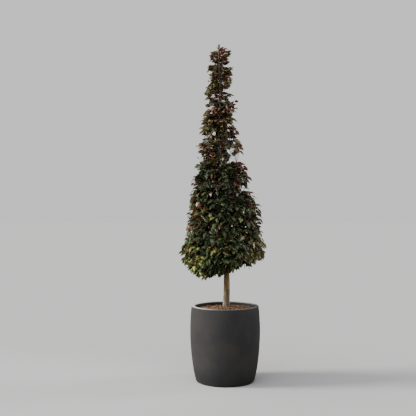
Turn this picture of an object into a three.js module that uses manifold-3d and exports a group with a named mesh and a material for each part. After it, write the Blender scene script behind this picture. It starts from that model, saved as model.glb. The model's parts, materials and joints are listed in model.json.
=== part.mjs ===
// A purple-leaved columnar beech in a dark barrel-shaped planter, in millimetres, +Z up.
// The origin is at the middle of the planter's flat underside.
import * as THREE from "three";
import { mergeVertices } from "three/addons/utils/BufferGeometryUtils.js";
import Module from "manifold-3d";

const wasm = await Module();
wasm.setup();

// Planter: a lathe-turned shell of fibre cement
const POT_HEIGHT = 540;
const POT_OUTLINE = [
  // [height, outer radius] from just above the foot to just below the lip
  [18, 212],
  [56, 222],
  [115, 232.5],
  [175, 240],
  [240, 246],
  [345, 251],
  [430, 249.5],
  [500, 245],
];
const POT_FOOT_RADIUS = 196;
const POT_RIM_RADIUS = 241;
const POT_WALL = 18;
const POT_LIP = 26;
const POT_LIP_DEPTH = 40;
const POT_LIP_ROUNDING = 6;
const POT_FLOOR = 24;
const POT_SIDES = 32;
const POT_OUTLINE_STEPS = 6;

// Filling of the planter: soil, and a layer of bark chips on it
const SOIL_TOP = 488;
const MULCH_TOP = 512;
const MULCH_MOUND = 8;
const MULCH_ROUGHNESS = 2.5;
const MULCH_EDGE_GAP = 3;
const MULCH_SIDES = 24;
const CHIP_COUNT = 10;
const MULCH_RINGS = [1, 0.74, 0.48, 0];
const CHIP_SIZE = [36, 18, 11];

// Trunk: its middle line, and its radius along it
const TRUNK_BENDS = [
  [6, 0, 488.3],
  [12, 2, 660],
  [9, 5, 820],
  [-18, 7, 1220],
  [-42, 4, 1640],
  [-37, -1, 2070],
  [-46, -4, 2352],
];
const TRUNK_RADIUS = 20.5;
const TRUNK_TIP_RADIUS = 3.6;
const TRUNK_TAPER = 0.9;
const ROOT_FLARE = 8.5;
const ROOT_FLARE_HEIGHT = 42;
const ROOT_LOBES = 5;
const ROOT_LOBE_DEPTH = 0.13;
const TRUNK_SIDES = 9;
const TRUNK_STEPS = 18;

// Crown: [height, radius] of its outline about the crown's own axis
const CROWN_OUTLINE = [
  [742, 150],
  [790, 232],
  [850, 285],
  [930, 313],
  [1080, 286],
  [1240, 254],
  [1370, 232],
  [1513, 206],
  [1657, 168],
  [1822, 148],
  [1952, 128],
  [2060, 100],
  [2232, 92],
  [2340, 70],
  [2412, 26],
];
const CROWN_AXIS_LOW = { z: 900, x: -15 };
const CROWN_AXIS_HIGH = { z: 1950, x: -40 };
// The crown's underside is a little lower on the left, and its leaf tips may pass the outline a little
const SKIRT_FOOT = 762;
const FOOT_TILT = 0.07;
const OUTLINE_SLACK = 1.08;
const APEX_LIFT = 90;
const TRUNK_GAP = 3;

// Tiers of the crown from the bottom up. A tier's foot is a height at the crown's outline, rises outwards
// with its slope, and is the top of the tier below. The masses of a tier share it as equal wedges round the
// trunk, turned by a share of a wedge. Rows are the twigs of a mass, row by row from its foot. A dense
// tier's masses have a core between two shares of the crown's radius. Leaf is the size of its leaves.
const TIERS = [
  { name: "skirt", foot: 742, slope: 0.1, masses: 6, turn: 0.5, rows: [3, 2], leaf: 1.1, core: [0.36, 0.8] },
  { name: "bell", foot: 1000, slope: 0.35, masses: 6, turn: 0, rows: [3, 2], leaf: 1.1, core: [0.36, 0.82] },
  { name: "waist", foot: 1250, slope: 0.5, masses: 5, turn: 0.3, rows: [2, 2], leaf: 1.05, core: [0.38, 0.76] },
  { name: "shoulder", foot: 1475, slope: 0.6, masses: 4, turn: 0.1, rows: [2, 2], leaf: 0.9, core: [0.42, 0.7] },
  { name: "spire", foot: 1690, slope: 0.7, masses: 3, turn: 0.65, rows: [2, 1], leaf: 0.8, core: [0.26, 0.6] },
  { name: "upper_spire", foot: 1900, slope: 0.8, masses: 3, turn: 0.15, rows: [2, 1], leaf: 0.68, core: null },
  { name: "leader", foot: 2110, slope: 0.9, masses: 3, turn: 0.6, rows: [1, 1, 1], leaf: 0.58, core: null },
];
const LEADER_TOP = 2375;
const BOUGH_TIERS = ["skirt", "bell", "waist", "shoulder"];
const MASS_LIFT = 14;

// Tuft at the tip of the leader
const TIP_TUFT_LEAVES = 5;
const TIP_TUFT_STEM = 30;
const GOLDEN_ANGLE = 2.4;

// Boughs: they leave the trunk below the height, as a share of the tier, at which they reach their mass
const BOUGH_RADIUS = 8.5;
const BOUGH_TIP_RADIUS = 6;
const BOUGH_SIDES = 5;
const BOUGH_STEPS = 2;
const BOUGH_RISE = 0.6;
const BOUGH_SAG = 5;
const BOUGH_HEIGHT = 0.5;
const BOUGH_TO_CORE = 6;

// Stems and twigs: a stem in an open mass starts on the trunk and is covered in leaves
const STEM_RADIUS = 5.4;
const STEM_TIP_RADIUS = 4;
const STEM_SIDES = 4;
const STEM_STEPS = 3;
const STEM_LEAD = 30;
const STEM_ROOT_HEIGHT = 0.1;
const STEM_ROOT_INSIDE = 0.6;
const STEM_BOW = 0.3;
const DENSE_STEM = { height: 0.5, leafRoom: 0.7, leaves: 3 };
const OPEN_STEM = { height: 0.7, leafRoom: 0.85, leaves: 8 };
const TWIG_RADIUS = 3;
const TWIG_TIP_RADIUS = 2.7;
const TWIG_LEAVES = 3;
const TWIG_SHORTEST = 30;
const TWIGS_ALONG_STEM = [0.45, 0.92];
const TWIG_SPREAD = 0.9;
const TWIG_SCATTER = [0.08, 0.05];
const TWIG_LEAF_ROOM = [0.34, 0.54];

// Leaves
const LEAF_LENGTH = 100;
const LEAF_WIDTH = 64;
const LEAF_THICKNESS = 3;
const LEAF_FOLD = 7;
const LEAF_DROOP = 9;
const LEAF_WIDEST = 0.42;
const LEAF_RIDGE = 0.34;
const LEAF_ROOT_SUNK = 2.2;
const LEAF_ANGLE = 0.95;
const LEAF_SPACING = 30;
const LEAF_SIZES = [0.85, 1.1];
// Turns about its upright, each with a share of its size, in which a leaf is tried in its space
const LEAF_TRIES = [
  ...[[0, 1], [0.35, 1], [-0.35, 1]],
  ...[[0.7, 0.9], [-0.7, 0.9], [1.2, 0.85], [-1.2, 0.85]],
  ...[[0, 0.75], [0.5, 0.75], [-0.5, 0.75]],
];

// Cores of the dense masses
const SKIRT_CORE_LIFT = 22;
const CORE_STEPS_ROUND = 3;
const CORE_STEPS_UP = 2;
const CORE_LOBE = 0.16;
const CORE_GAP = 2.6;

const CLEARANCE = 0.3;
const SPACE_MARGIN = 1.6;
const SEED = 20417;

// A seeded stream of numbers from 0 to 1.
function randomStream(seed) {
  let state = seed >>> 0;
  return () => {
    state = (state + 0x6d2b79f5) >>> 0;
    let t = state;
    t = Math.imul(t ^ (t >>> 15), t | 1);
    t ^= t + Math.imul(t ^ (t >>> 7), t | 61);
    return ((t ^ (t >>> 14)) >>> 0) / 4294967296;
  };
}

const mix = (a, b, t) => a + (b - a) * t;
const vec = (x, y, z) => new THREE.Vector3(x, y, z);

// The value at x on straight lines between [x, value] pairs.
function along(pairs, x) {
  if (x <= pairs[0][0]) return pairs[0][1];
  for (let i = 1; i < pairs.length; i++) {
    const [x0, y0] = pairs[i - 1];
    const [x1, y1] = pairs[i];
    if (x <= x1) return mix(y0, y1, (x - x0) / (x1 - x0));
  }
  return pairs[pairs.length - 1][1];
}

// A closed geometry as a solid, whichever way round its faces are.
function solid(geometry) {
  const bare = new THREE.BufferGeometry().setAttribute("position", geometry.getAttribute("position"));
  if (geometry.index) bare.setIndex(geometry.index);
  const merged = mergeVertices(bare, 1e-3);
  const index = merged.index.array;
  const kept = [];
  for (let i = 0; i < index.length; i += 3) {
    const [a, b, c] = [index[i], index[i + 1], index[i + 2]];
    if (a !== b && b !== c && c !== a) kept.push(a, b, c);
  }
  const made = (order) =>
    new wasm.Manifold(
      new wasm.Mesh({
        numProp: 3,
        vertProperties: new Float32Array(merged.getAttribute("position").array),
        triVerts: new Uint32Array(order),
      }),
    );
  const first = made(kept);
  if (first.volume() > 0) return first;
  const turned = [];
  for (let i = 0; i < kept.length; i += 3) turned.push(kept[i], kept[i + 2], kept[i + 1]);
  return made(turned);
}

// A solid as a named mesh.
function meshOf(name, body, material) {
  const made = body.getMesh();
  const positions = new Float32Array(made.numVert * 3);
  for (let i = 0; i < made.numVert; i++) {
    positions.set(made.vertProperties.subarray(i * made.numProp, i * made.numProp + 3), i * 3);
  }
  const geometry = new THREE.BufferGeometry();
  geometry.setAttribute("position", new THREE.BufferAttribute(positions, 3));
  geometry.setIndex(new THREE.BufferAttribute(new Uint32Array(made.triVerts), 1));
  geometry.computeVertexNormals();
  const mesh = new THREE.Mesh(geometry, material);
  mesh.name = name;
  return mesh;
}

// The largest piece of a solid: what stayed loose after a join is dropped.
function largestPiece(body) {
  const pieces = body.decompose();
  return pieces.reduce((best, piece) => (piece.volume() > best.volume() ? piece : best));
}

function joined(bodies) {
  return bodies.reduce((whole, body) => whole.add(body));
}

// A round limb along a curve, with a radius that may change along it and round it, and flat ends.
function limb(curve, radiusAt, sides, steps) {
  const positions = [];
  const index = [];
  const frames = curve.computeFrenetFrames(steps, false);
  for (let i = 0; i <= steps; i++) {
    const t = i / steps;
    const middle = curve.getPointAt(t);
    for (let k = 0; k < sides; k++) {
      const angle = (k / sides) * 2 * Math.PI;
      const radius = radiusAt(t, angle);
      const corner = middle
        .clone()
        .addScaledVector(frames.normals[i], radius * Math.cos(angle))
        .addScaledVector(frames.binormals[i], radius * Math.sin(angle));
      positions.push(corner.x, corner.y, corner.z);
    }
  }
  for (let i = 0; i < steps; i++) {
    for (let k = 0; k < sides; k++) {
      const a = i * sides + k;
      const b = i * sides + ((k + 1) % sides);
      index.push(a, b, b + sides, a, b + sides, a + sides);
    }
  }
  const last = steps * sides;
  for (let k = 1; k < sides - 1; k++) {
    index.push(0, k + 1, k, last, last + k, last + k + 1);
  }
  const geometry = new THREE.BufferGeometry();
  geometry.setAttribute("position", new THREE.Float32BufferAttribute(positions, 3));
  geometry.setIndex(index);
  return solid(geometry);
}

function straightLimb(from, to, radiusFrom, radiusTo, sides) {
  return limb(new THREE.LineCurve3(from, to), (t) => mix(radiusFrom, radiusTo, t), sides, 1);
}

// Planter

// Heights at which the planter's inside and its filling have a corner
const FILL_HEIGHTS = [POT_FLOOR, 110, 345, POT_HEIGHT - POT_LIP_DEPTH];
const potSpline = new THREE.SplineCurve(POT_OUTLINE.map(([z, r]) => new THREE.Vector2(r, z)));
const potOutline = potSpline.getPoints(POT_OUTLINE_STEPS);

function potOuterRadius(z) {
  return along(potOutline.map((p) => [p.y, p.x]), z);
}

function potInnerRadius(z) {
  const depth = Math.min(1, Math.max(0, (POT_HEIGHT - z) / POT_LIP_DEPTH));
  const [shoulderHeight, shoulderRadius] = POT_OUTLINE[POT_OUTLINE.length - 1];
  const outer = z > shoulderHeight ? mix(POT_RIM_RADIUS, shoulderRadius, depth) : potOuterRadius(z);
  return outer - mix(POT_LIP, POT_WALL, depth);
}

// A quarter circle of a few points between two corners of a profile.
function roundedCorner(centre, radius, fromAngle, toAngle, steps) {
  return Array.from({ length: steps + 1 }, (_, i) => {
    const angle = mix(fromAngle, toAngle, i / steps);
    return new THREE.Vector2(centre.x + radius * Math.cos(angle), centre.y + radius * Math.sin(angle));
  });
}

function turned(profile, sides) {
  return solid(new THREE.LatheGeometry(profile, sides).rotateX(Math.PI / 2));
}

function planter() {
  const lipOuter = new THREE.Vector2(POT_RIM_RADIUS - POT_LIP_ROUNDING, POT_HEIGHT - POT_LIP_ROUNDING);
  const lipInner = new THREE.Vector2(POT_RIM_RADIUS - POT_LIP + POT_LIP_ROUNDING, lipOuter.y);
  const profile = [
    new THREE.Vector2(0, 0),
    new THREE.Vector2(POT_FOOT_RADIUS, 0),
    new THREE.Vector2(mix(POT_FOOT_RADIUS, POT_OUTLINE[0][1], 0.7), 5),
    ...potOutline,
    ...roundedCorner(lipOuter, POT_LIP_ROUNDING, 0, Math.PI / 2, 2),
    ...roundedCorner(lipInner, POT_LIP_ROUNDING, Math.PI / 2, Math.PI, 2),
    ...[...FILL_HEIGHTS].reverse().map((z) => new THREE.Vector2(potInnerRadius(z), z)),
    new THREE.Vector2(0, POT_FLOOR),
  ];
  return turned(profile, POT_SIDES);
}

function pottingSoil() {
  const radiusAt = (z) => potInnerRadius(z) - 2 * CLEARANCE;
  const side = FILL_HEIGHTS.map((z) => new THREE.Vector2(radiusAt(z), Math.min(z, SOIL_TOP)));
  side[0].y += CLEARANCE;
  return turned([new THREE.Vector2(0, side[0].y), ...side, new THREE.Vector2(0, SOIL_TOP)], POT_SIDES);
}

// Height of the bark layer at a place in the planter: a low mound with a rough surface.
function mulchHeight(x, y) {
  const fromTrunk = Math.hypot(x - TRUNK_BENDS[0][0], y) / POT_RIM_RADIUS;
  const rough = Math.sin(x * 0.21 + y * 0.05) * Math.cos(y * 0.19 - x * 0.07);
  return MULCH_TOP + MULCH_MOUND * Math.exp(-4 * fromTrunk) + MULCH_ROUGHNESS * rough;
}

function barkMulch(trunkCutter) {
  const bottom = SOIL_TOP + CLEARANCE;
  const edge = potInnerRadius(MULCH_TOP + MULCH_ROUGHNESS) - MULCH_EDGE_GAP;
  const profile = [
    new THREE.Vector2(0, bottom),
    new THREE.Vector2(edge, bottom),
    ...MULCH_RINGS.map((share) => new THREE.Vector2(edge * share, MULCH_TOP)),
  ];
  const geometry = new THREE.LatheGeometry(profile, MULCH_SIDES).rotateX(Math.PI / 2);
  const position = geometry.getAttribute("position");
  for (let i = 0; i < position.count; i++) {
    if (position.getZ(i) > bottom + 1) position.setZ(i, mulchHeight(position.getX(i), position.getY(i)));
  }
  const random = randomStream(SEED);
  const chips = [];
  while (chips.length < CHIP_COUNT) {
    const radius = mix(50, edge - CHIP_SIZE[0] * 0.72, Math.sqrt(random()));
    const angle = random() * 2 * Math.PI;
    const chip = new THREE.BoxGeometry(...CHIP_SIZE.map((side) => side * mix(0.75, 1.15, random())));
    chip.rotateX(mix(-0.4, 0.4, random())).rotateY(mix(-0.3, 0.3, random())).rotateZ(random() * Math.PI);
    const [x, y] = [radius * Math.cos(angle), radius * Math.sin(angle)];
    chips.push(solid(chip.translate(x, y, mulchHeight(x, y) + 1)));
  }
  return largestPiece(joined([solid(geometry), ...chips]).subtract(trunkCutter));
}

// Trunk and boughs

const trunkLine = new THREE.CatmullRomCurve3(TRUNK_BENDS.map((p) => vec(...p)));
const TRUNK_FOOT = TRUNK_BENDS[0][2];
const TRUNK_TOP = TRUNK_BENDS[TRUNK_BENDS.length - 1][2];

// The trunk's middle at a height, found by halving.
function trunkAt(z) {
  let [low, high] = [0, 1];
  for (let i = 0; i < 24; i++) {
    const half = (low + high) / 2;
    if (trunkLine.getPointAt(half).z < z) low = half;
    else high = half;
  }
  return trunkLine.getPointAt(low);
}

function trunkRadius(z) {
  const t = Math.min(1, Math.max(0, (z - TRUNK_FOOT) / (TRUNK_TOP - TRUNK_FOOT)));
  const flare = ROOT_FLARE * Math.exp(-(z - TRUNK_FOOT) / ROOT_FLARE_HEIGHT);
  return TRUNK_TIP_RADIUS + (TRUNK_RADIUS - TRUNK_TIP_RADIUS) * (1 - t) ** TRUNK_TAPER + flare;
}

function trunk(grownBy) {
  const radiusAt = (t, angle) => {
    const z = trunkLine.getPointAt(t).z;
    const lobe = ROOT_LOBE_DEPTH * Math.exp(-(z - TRUNK_FOOT) / ROOT_FLARE_HEIGHT);
    return trunkRadius(z) * (1 + lobe * Math.cos(ROOT_LOBES * angle)) + grownBy;
  };
  const made = limb(trunkLine, radiusAt, TRUNK_SIDES, TRUNK_STEPS);
  const belowFoot = solid(new THREE.BoxGeometry(200, 200, 200).translate(0, 0, TRUNK_FOOT - 100));
  return grownBy ? made : made.subtract(belowFoot);
}

function wedgeDirection(mass) {
  return vec(Math.cos(mass.azimuth), Math.sin(mass.azimuth), 0);
}

function hasBough(tier) {
  return BOUGH_TIERS.includes(tier.name);
}

// Height of a tier's lower limit at a distance out from its apex.
function footHeight(tier, out) {
  return tier.foot + tier.slope * (out - crownRadius(tier.foot));
}

// A tier's apex: the place on the trunk that its wedges share.
function apexOf(tier) {
  tier.apex ??= trunkAt(Math.max(footHeight(tier, 0), SKIRT_FOOT) + APEX_LIFT);
  return tier.apex;
}

// Heights of a tier's lower and upper limits at a place.
function footAt(tier, p) {
  return footHeight(tier, Math.hypot(p.x - apexOf(tier).x, p.y - apexOf(tier).y));
}

function topAt(tier, p) {
  const next = TIERS[TIERS.indexOf(tier) + 1];
  return next ? footAt(next, p) : LEADER_TOP;
}

// A height at the crown's outline, a share of the way up a tier.
function outlineHeight(tier, share) {
  const next = TIERS[TIERS.indexOf(tier) + 1];
  return mix(tier.foot, next ? next.foot : LEADER_TOP, share);
}

// A height within a mass, a share of the way up it.
function heightIn(mass, p, share) {
  return mix(footAt(mass.tier, p), topAt(mass.tier, p), share) + mass.lift;
}

// How far from its mass's apex a bough reaches, just short of the core.
function boughReach(tier) {
  return tier.core[0] * crownRadius(outlineHeight(tier, 0.5)) - BOUGH_TO_CORE;
}

// A bough leaves the trunk rising, and ends at the inside of its mass.
function boughLine(mass) {
  const { tier } = mass;
  const reach = boughReach(tier);
  const tip = mass.apex.clone().addScaledVector(wedgeDirection(mass), reach);
  tip.z = heightIn(mass, tip, BOUGH_HEIGHT);
  const root = trunkAt(tip.z - reach * BOUGH_RISE);
  const middle = root.clone().lerp(tip, 0.5).add(vec(0, 0, -BOUGH_SAG));
  return new THREE.QuadraticBezierCurve3(root, middle, tip);
}

function bough(mass, grownBy) {
  const radiusAt = (t) => mix(BOUGH_RADIUS, BOUGH_TIP_RADIUS, t) + grownBy;
  return limb(boughLine(mass), radiusAt, BOUGH_SIDES, BOUGH_STEPS);
}

// Masses of foliage

function crownAxisX(z) {
  return along([[CROWN_AXIS_LOW.z, CROWN_AXIS_LOW.x], [CROWN_AXIS_HIGH.z, CROWN_AXIS_HIGH.x]], z);
}

function crownRadius(z) {
  return along(CROWN_OUTLINE, z);
}

function layOutMasses() {
  const random = randomStream(SEED + 1);
  const masses = [];
  for (const tier of TIERS) {
    const apex = apexOf(tier);
    for (let i = 0; i < tier.masses; i++) {
      const azimuth = ((i + tier.turn) / tier.masses) * 2 * Math.PI;
      const lift = mix(-MASS_LIFT, MASS_LIFT, random());
      masses.push({ tier, apex, azimuth, lift, number: i + 1, halfAngle: Math.PI / tier.masses, leaves: [] });
    }
  }
  return masses;
}

// Whether a point lies in a mass's own space: its wedge of its tier, inside the crown's outline.
function inSpace(mass, p) {
  const { tier, apex, azimuth, halfAngle } = mass;
  const [dx, dy] = [p.x - apex.x, p.y - apex.y];
  for (const side of [-1, 1]) {
    const edge = azimuth + side * halfAngle;
    if (side * (dx * Math.sin(edge) - dy * Math.cos(edge)) < SPACE_MARGIN) return false;
  }
  const foot = tier === TIERS[0] ? SKIRT_FOOT + FOOT_TILT * p.x : footAt(tier, p);
  if (p.z < foot + SPACE_MARGIN || p.z > topAt(tier, p) - SPACE_MARGIN) return false;
  if (Math.hypot(p.x - crownAxisX(p.z), p.y) > crownRadius(p.z) * OUTLINE_SLACK) return false;
  const middle = trunkAt(p.z);
  return Math.hypot(p.x - middle.x, p.y - middle.y) > trunkRadius(p.z) + TRUNK_GAP;
}

// A leaf blade: an eight-faced solid with a folded midrib and a drooping tip, growing from its root along d.
function leafCorners(root, d, facing, size) {
  const side = d.clone().cross(facing).normalize();
  const up = side.clone().cross(d).normalize();
  const length = LEAF_LENGTH * size;
  const place = (across, alongLeaf, above) =>
    root.clone().addScaledVector(side, across).addScaledVector(d, alongLeaf).addScaledVector(up, above);
  const half = (LEAF_WIDTH * size) / 2;
  return {
    base: root.clone(),
    tip: place(0, length, -LEAF_DROOP),
    left: place(-half, length * LEAF_WIDEST, LEAF_FOLD),
    right: place(half, length * LEAF_WIDEST, LEAF_FOLD),
    top: place(0, length * LEAF_RIDGE, LEAF_THICKNESS / 2),
    under: place(0, length * LEAF_RIDGE, -LEAF_THICKNESS / 2),
  };
}

function leafSolid(corners) {
  const geometry = new THREE.OctahedronGeometry(1);
  const position = geometry.getAttribute("position");
  const names = [["left", "right"], ["base", "tip"], ["under", "top"]];
  for (let i = 0; i < position.count; i++) {
    const at = [position.getX(i), position.getY(i), position.getZ(i)];
    const axis = at.findIndex((value) => Math.abs(value) > 0.5);
    const corner = corners[names[axis][at[axis] > 0 ? 1 : 0]];
    position.setXYZ(i, corner.x, corner.y, corner.z);
  }
  return solid(geometry);
}

// Tries a leaf in a few positions about its shoot. It returns the first one that fits its space and misses
// its neighbours.
function fittingLeaf(mass, root, direction, facing, size, obstacles) {
  for (const [turn, scale] of LEAF_TRIES) {
    const d = direction.clone().applyAxisAngle(facing, turn).normalize();
    const corners = leafCorners(root, d, facing, size * scale);
    const { left, right, tip, top } = corners;
    const edges = [left.clone().lerp(tip, 0.5), right.clone().lerp(tip, 0.5)];
    if (![left, right, tip, top, ...edges].every((p) => inSpace(mass, p))) continue;
    const leaf = leafSolid(corners);
    if ([...obstacles, ...mass.leaves].every((other) => leaf.intersect(other).isEmpty())) {
      mass.leaves.push(leaf);
      return leaf;
    }
  }
  return null;
}

// The leaves of one shoot: laterals on alternate sides behind a terminal leaf.
function shootLeaves(mass, shoot, obstacles, random) {
  const { tier, apex } = mass;
  const length = shoot.line.getLength();
  const leaves = [];
  for (let i = 0; i < shoot.leafCount; i++) {
    const back = i * LEAF_SPACING * tier.leaf + LEAF_ROOT_SUNK;
    if (back > length * 0.85) break;
    const root = shoot.line.getPointAt(1 - back / length);
    const direction = shoot.line.getTangentAt(1 - back / length);
    const facing = vec(root.x - apex.x, root.y - apex.y, 0)
      .normalize()
      .multiplyScalar(mix(0.35, 0.8, random()))
      .add(vec(0, 0, mix(0.4, 0.9, random())))
      .add(vec(random() - 0.5, random() - 0.5, 0).multiplyScalar(0.4))
      .normalize();
    const side = i === 0 ? 0 : i % 2 ? 1 : -1;
    const leafDirection = direction.applyAxisAngle(facing, side * LEAF_ANGLE * mix(0.85, 1.2, random()));
    leafDirection.addScaledVector(vec(0, 0, -1), mix(0.05, 0.3, random()));
    leafDirection.addScaledVector(facing, -leafDirection.dot(facing) * 0.85).normalize();
    const size = tier.leaf * mix(...LEAF_SIZES, random());
    const leaf = fittingLeaf(mass, root, leafDirection, facing, size, obstacles);
    if (leaf) leaves.push(leaf);
  }
  return leaves;
}

// The core of a dense mass: a lobed block of its wedge, clear of the trunk and the bough.
function massCore(mass) {
  const { tier, apex, azimuth, halfAngle } = mass;
  const [begins, ends] = tier.core;
  const geometry = new THREE.BoxGeometry(2, 1, 1, CORE_STEPS_ROUND, 1, CORE_STEPS_UP);
  const position = geometry.getAttribute("position");
  for (let i = 0; i < position.count; i++) {
    const across = position.getX(i);
    const up = position.getZ(i) + 0.5;
    const inner = begins * crownRadius(outlineHeight(tier, 0.5));
    const lobe = 1 - CORE_LOBE * across * across - CORE_LOBE * (2 * up - 1) ** 2;
    const outer = ends * lobe * crownRadius(outlineHeight(tier, up));
    const radius = position.getY(i) > 0 ? outer : inner;
    const angle = azimuth + across * (halfAngle - Math.asin(CORE_GAP / radius));
    const place = vec(apex.x + radius * Math.cos(angle), apex.y + radius * Math.sin(angle), 0);
    const foot = tier === TIERS[0] ? SKIRT_FOOT + SKIRT_CORE_LIFT : footAt(tier, place) + CORE_GAP;
    position.setXYZ(i, place.x, place.y, mix(foot, topAt(tier, place) - CORE_GAP, up));
  }
  return solid(geometry);
}

// Where twigs reach in a mass: u across its wedge from -1 to 1, v up its tier, and their order on the stem.
function twigPlaces(rows) {
  const places = [];
  rows.forEach((count, row) => {
    for (let i = 0; i < count; i++) {
      places.push({ u: (((i + 0.5) / count) * 2 - 1) * TWIG_SPREAD, v: (row + 0.5) / rows.length });
    }
  });
  return places.map((place, k) => ({ ...place, order: (k + 0.5) / places.length }));
}

// A mass's stem starts clear of its bough's tip, or inside the trunk, which is then cut away from it.
function stemLine(mass) {
  const { tier } = mass;
  const out = wedgeDirection(mass);
  const shape = tier.core ? DENSE_STEM : OPEN_STEM;
  const height = outlineHeight(tier, shape.height);
  const endRadius = crownRadius(height) - LEAF_LENGTH * tier.leaf * shape.leafRoom;
  const end = vec(crownAxisX(height), 0, 0).addScaledVector(out, endRadius);
  end.z = heightIn(mass, end, shape.height);
  if (hasBough(tier)) {
    const line = boughLine(mass);
    const start = line.getPoint(1).addScaledVector(line.getTangent(1), CLEARANCE);
    const bend = start.clone().addScaledVector(line.getTangent(1), STEM_LEAD);
    return new THREE.QuadraticBezierCurve3(start, bend, end);
  }
  const rootHeight = heightIn(mass, mass.apex, STEM_ROOT_HEIGHT);
  const start = trunkAt(rootHeight).addScaledVector(out, trunkRadius(rootHeight) * STEM_ROOT_INSIDE);
  const bend = start.clone().lerp(end, 0.5).addScaledVector(out, endRadius * STEM_BOW);
  return new THREE.QuadraticBezierCurve3(start, bend, end);
}

// One mass of foliage: a stem, twigs that reach for evenly spread places on the crown's outline, and leaves.
function foliage(mass, limbs) {
  const { tier, apex, azimuth, halfAngle } = mass;
  const random = randomStream(SEED + 100 * (TIERS.indexOf(tier) + 1) + mass.number);
  const stem = stemLine(mass);
  const stemSolid = limb(stem, (t) => mix(STEM_RADIUS, STEM_TIP_RADIUS, t), STEM_SIDES, STEM_STEPS);
  const parts = [hasBough(tier) ? stemSolid : stemSolid.subtract(limbs)];
  const shoots = [{ line: stem, body: stemSolid, leafCount: (tier.core ? DENSE_STEM : OPEN_STEM).leaves }];
  for (const { u, v, order } of twigPlaces(tier.rows)) {
    const [uScatter, vScatter] = TWIG_SCATTER.map((most) => mix(-most, most, random()));
    const targetAzimuth = azimuth + (u + uScatter) * halfAngle;
    const height = outlineHeight(tier, v + vScatter);
    const from = stem.getPoint(mix(...TWIGS_ALONG_STEM, order));
    const radius = crownRadius(height) - LEAF_LENGTH * tier.leaf * mix(...TWIG_LEAF_ROOM, random());
    const axisX = mix(apex.x, crownAxisX(height), 0.6);
    const to = vec(axisX + radius * Math.cos(targetAzimuth), radius * Math.sin(targetAzimuth), 0);
    to.z = heightIn(mass, to, v + vScatter);
    if (to.distanceTo(from) < TWIG_SHORTEST || !inSpace(mass, to)) continue;
    const twig = straightLimb(from, to, TWIG_RADIUS, TWIG_TIP_RADIUS, 3);
    if (!twig.intersect(limbs).isEmpty()) continue;
    parts.push(twig);
    shoots.push({ line: new THREE.LineCurve3(from, to), body: twig, leafCount: TWIG_LEAVES });
  }
  for (const shoot of shoots) {
    const others = shoots.filter((other) => other !== shoot).map((other) => other.body);
    parts.push(...shootLeaves(mass, shoot, [limbs, ...others], random));
  }
  if (tier.core) parts.push(massCore(mass));
  return largestPiece(joined(parts));
}

// The tuft that ends the leader: leaves turned about the trunk's tip.
function tipTuft() {
  const random = randomStream(SEED + 7);
  const foot = trunkLine.getPointAt(1).add(vec(0, 0, CLEARANCE));
  const top = foot.clone().add(vec(0, 0, TIP_TUFT_STEM));
  const parts = [straightLimb(foot, top, TRUNK_TIP_RADIUS, TWIG_TIP_RADIUS, 5)];
  for (let i = 0; i < TIP_TUFT_LEAVES; i++) {
    const angle = i * GOLDEN_ANGLE;
    const lean = mix(0.45, 0.95, random());
    const direction = vec(Math.cos(angle) * lean, Math.sin(angle) * lean, 1).normalize();
    const facing = vec(-Math.cos(angle), -Math.sin(angle), lean).normalize();
    const root = foot.clone().lerp(top, (i + 0.7) / TIP_TUFT_LEAVES);
    parts.push(leafSolid(leafCorners(root, direction, facing, mix(0.42, 0.55, random()))));
  }
  return largestPiece(joined(parts));
}

// Assembly

const finish = (color, roughness) => new THREE.MeshStandardMaterial({ color, roughness, metalness: 0 });
const fibreCement = finish("#38383a", 0.85);
const soil = finish("#2d221b", 0.95);
const barkChips = finish("#6e4331", 0.9);
const beechBark = finish("#7a6a4f", 0.8);
const purpleLeaf = finish("#3b2226", 0.5);
const bronzeGreenLeaf = finish("#2f3b20", 0.5);

const tree = new THREE.Group();
const trunkSolid = trunk(0);
const trunkCutter = trunk(CLEARANCE);
const masses = layOutMasses();
const boughs = masses.filter((mass) => hasBough(mass.tier)).map((mass) => {
  return { mass, body: largestPiece(bough(mass, 0).subtract(trunkCutter)) };
});
const grownBoughs = boughs.map(({ mass }) => bough(mass, CLEARANCE));
const limbs = joined([trunkCutter, ...grownBoughs]);

tree.add(meshOf("planter", planter(), fibreCement));
tree.add(meshOf("potting_soil", pottingSoil(), soil));
tree.add(meshOf("bark_mulch", barkMulch(trunkCutter), barkChips));
tree.add(meshOf("trunk", trunkSolid, beechBark));
for (const { mass, body } of boughs) {
  tree.add(meshOf(`${mass.tier.name}_bough_${mass.number}`, body, beechBark));
}
for (const mass of masses) {
  const leafColour = mass.tier.core ? bronzeGreenLeaf : purpleLeaf;
  tree.add(meshOf(`${mass.tier.name}_foliage_${mass.number}`, foliage(mass, limbs), leafColour));
}
tree.add(meshOf("leader_tip_tuft", tipTuft(), purpleLeaf));

export default tree;
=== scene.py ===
# A purple-leaved columnar beech in a dark barrel-shaped planter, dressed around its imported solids.
# Metres, +Z up. The origin is at the middle of the planter's flat underside, and -Y points to the viewer.

import json
import math

import bpy
import numpy as np
from bpy.props import FloatProperty, FloatVectorProperty, IntProperty, PointerProperty
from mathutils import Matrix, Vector, noise

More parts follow.
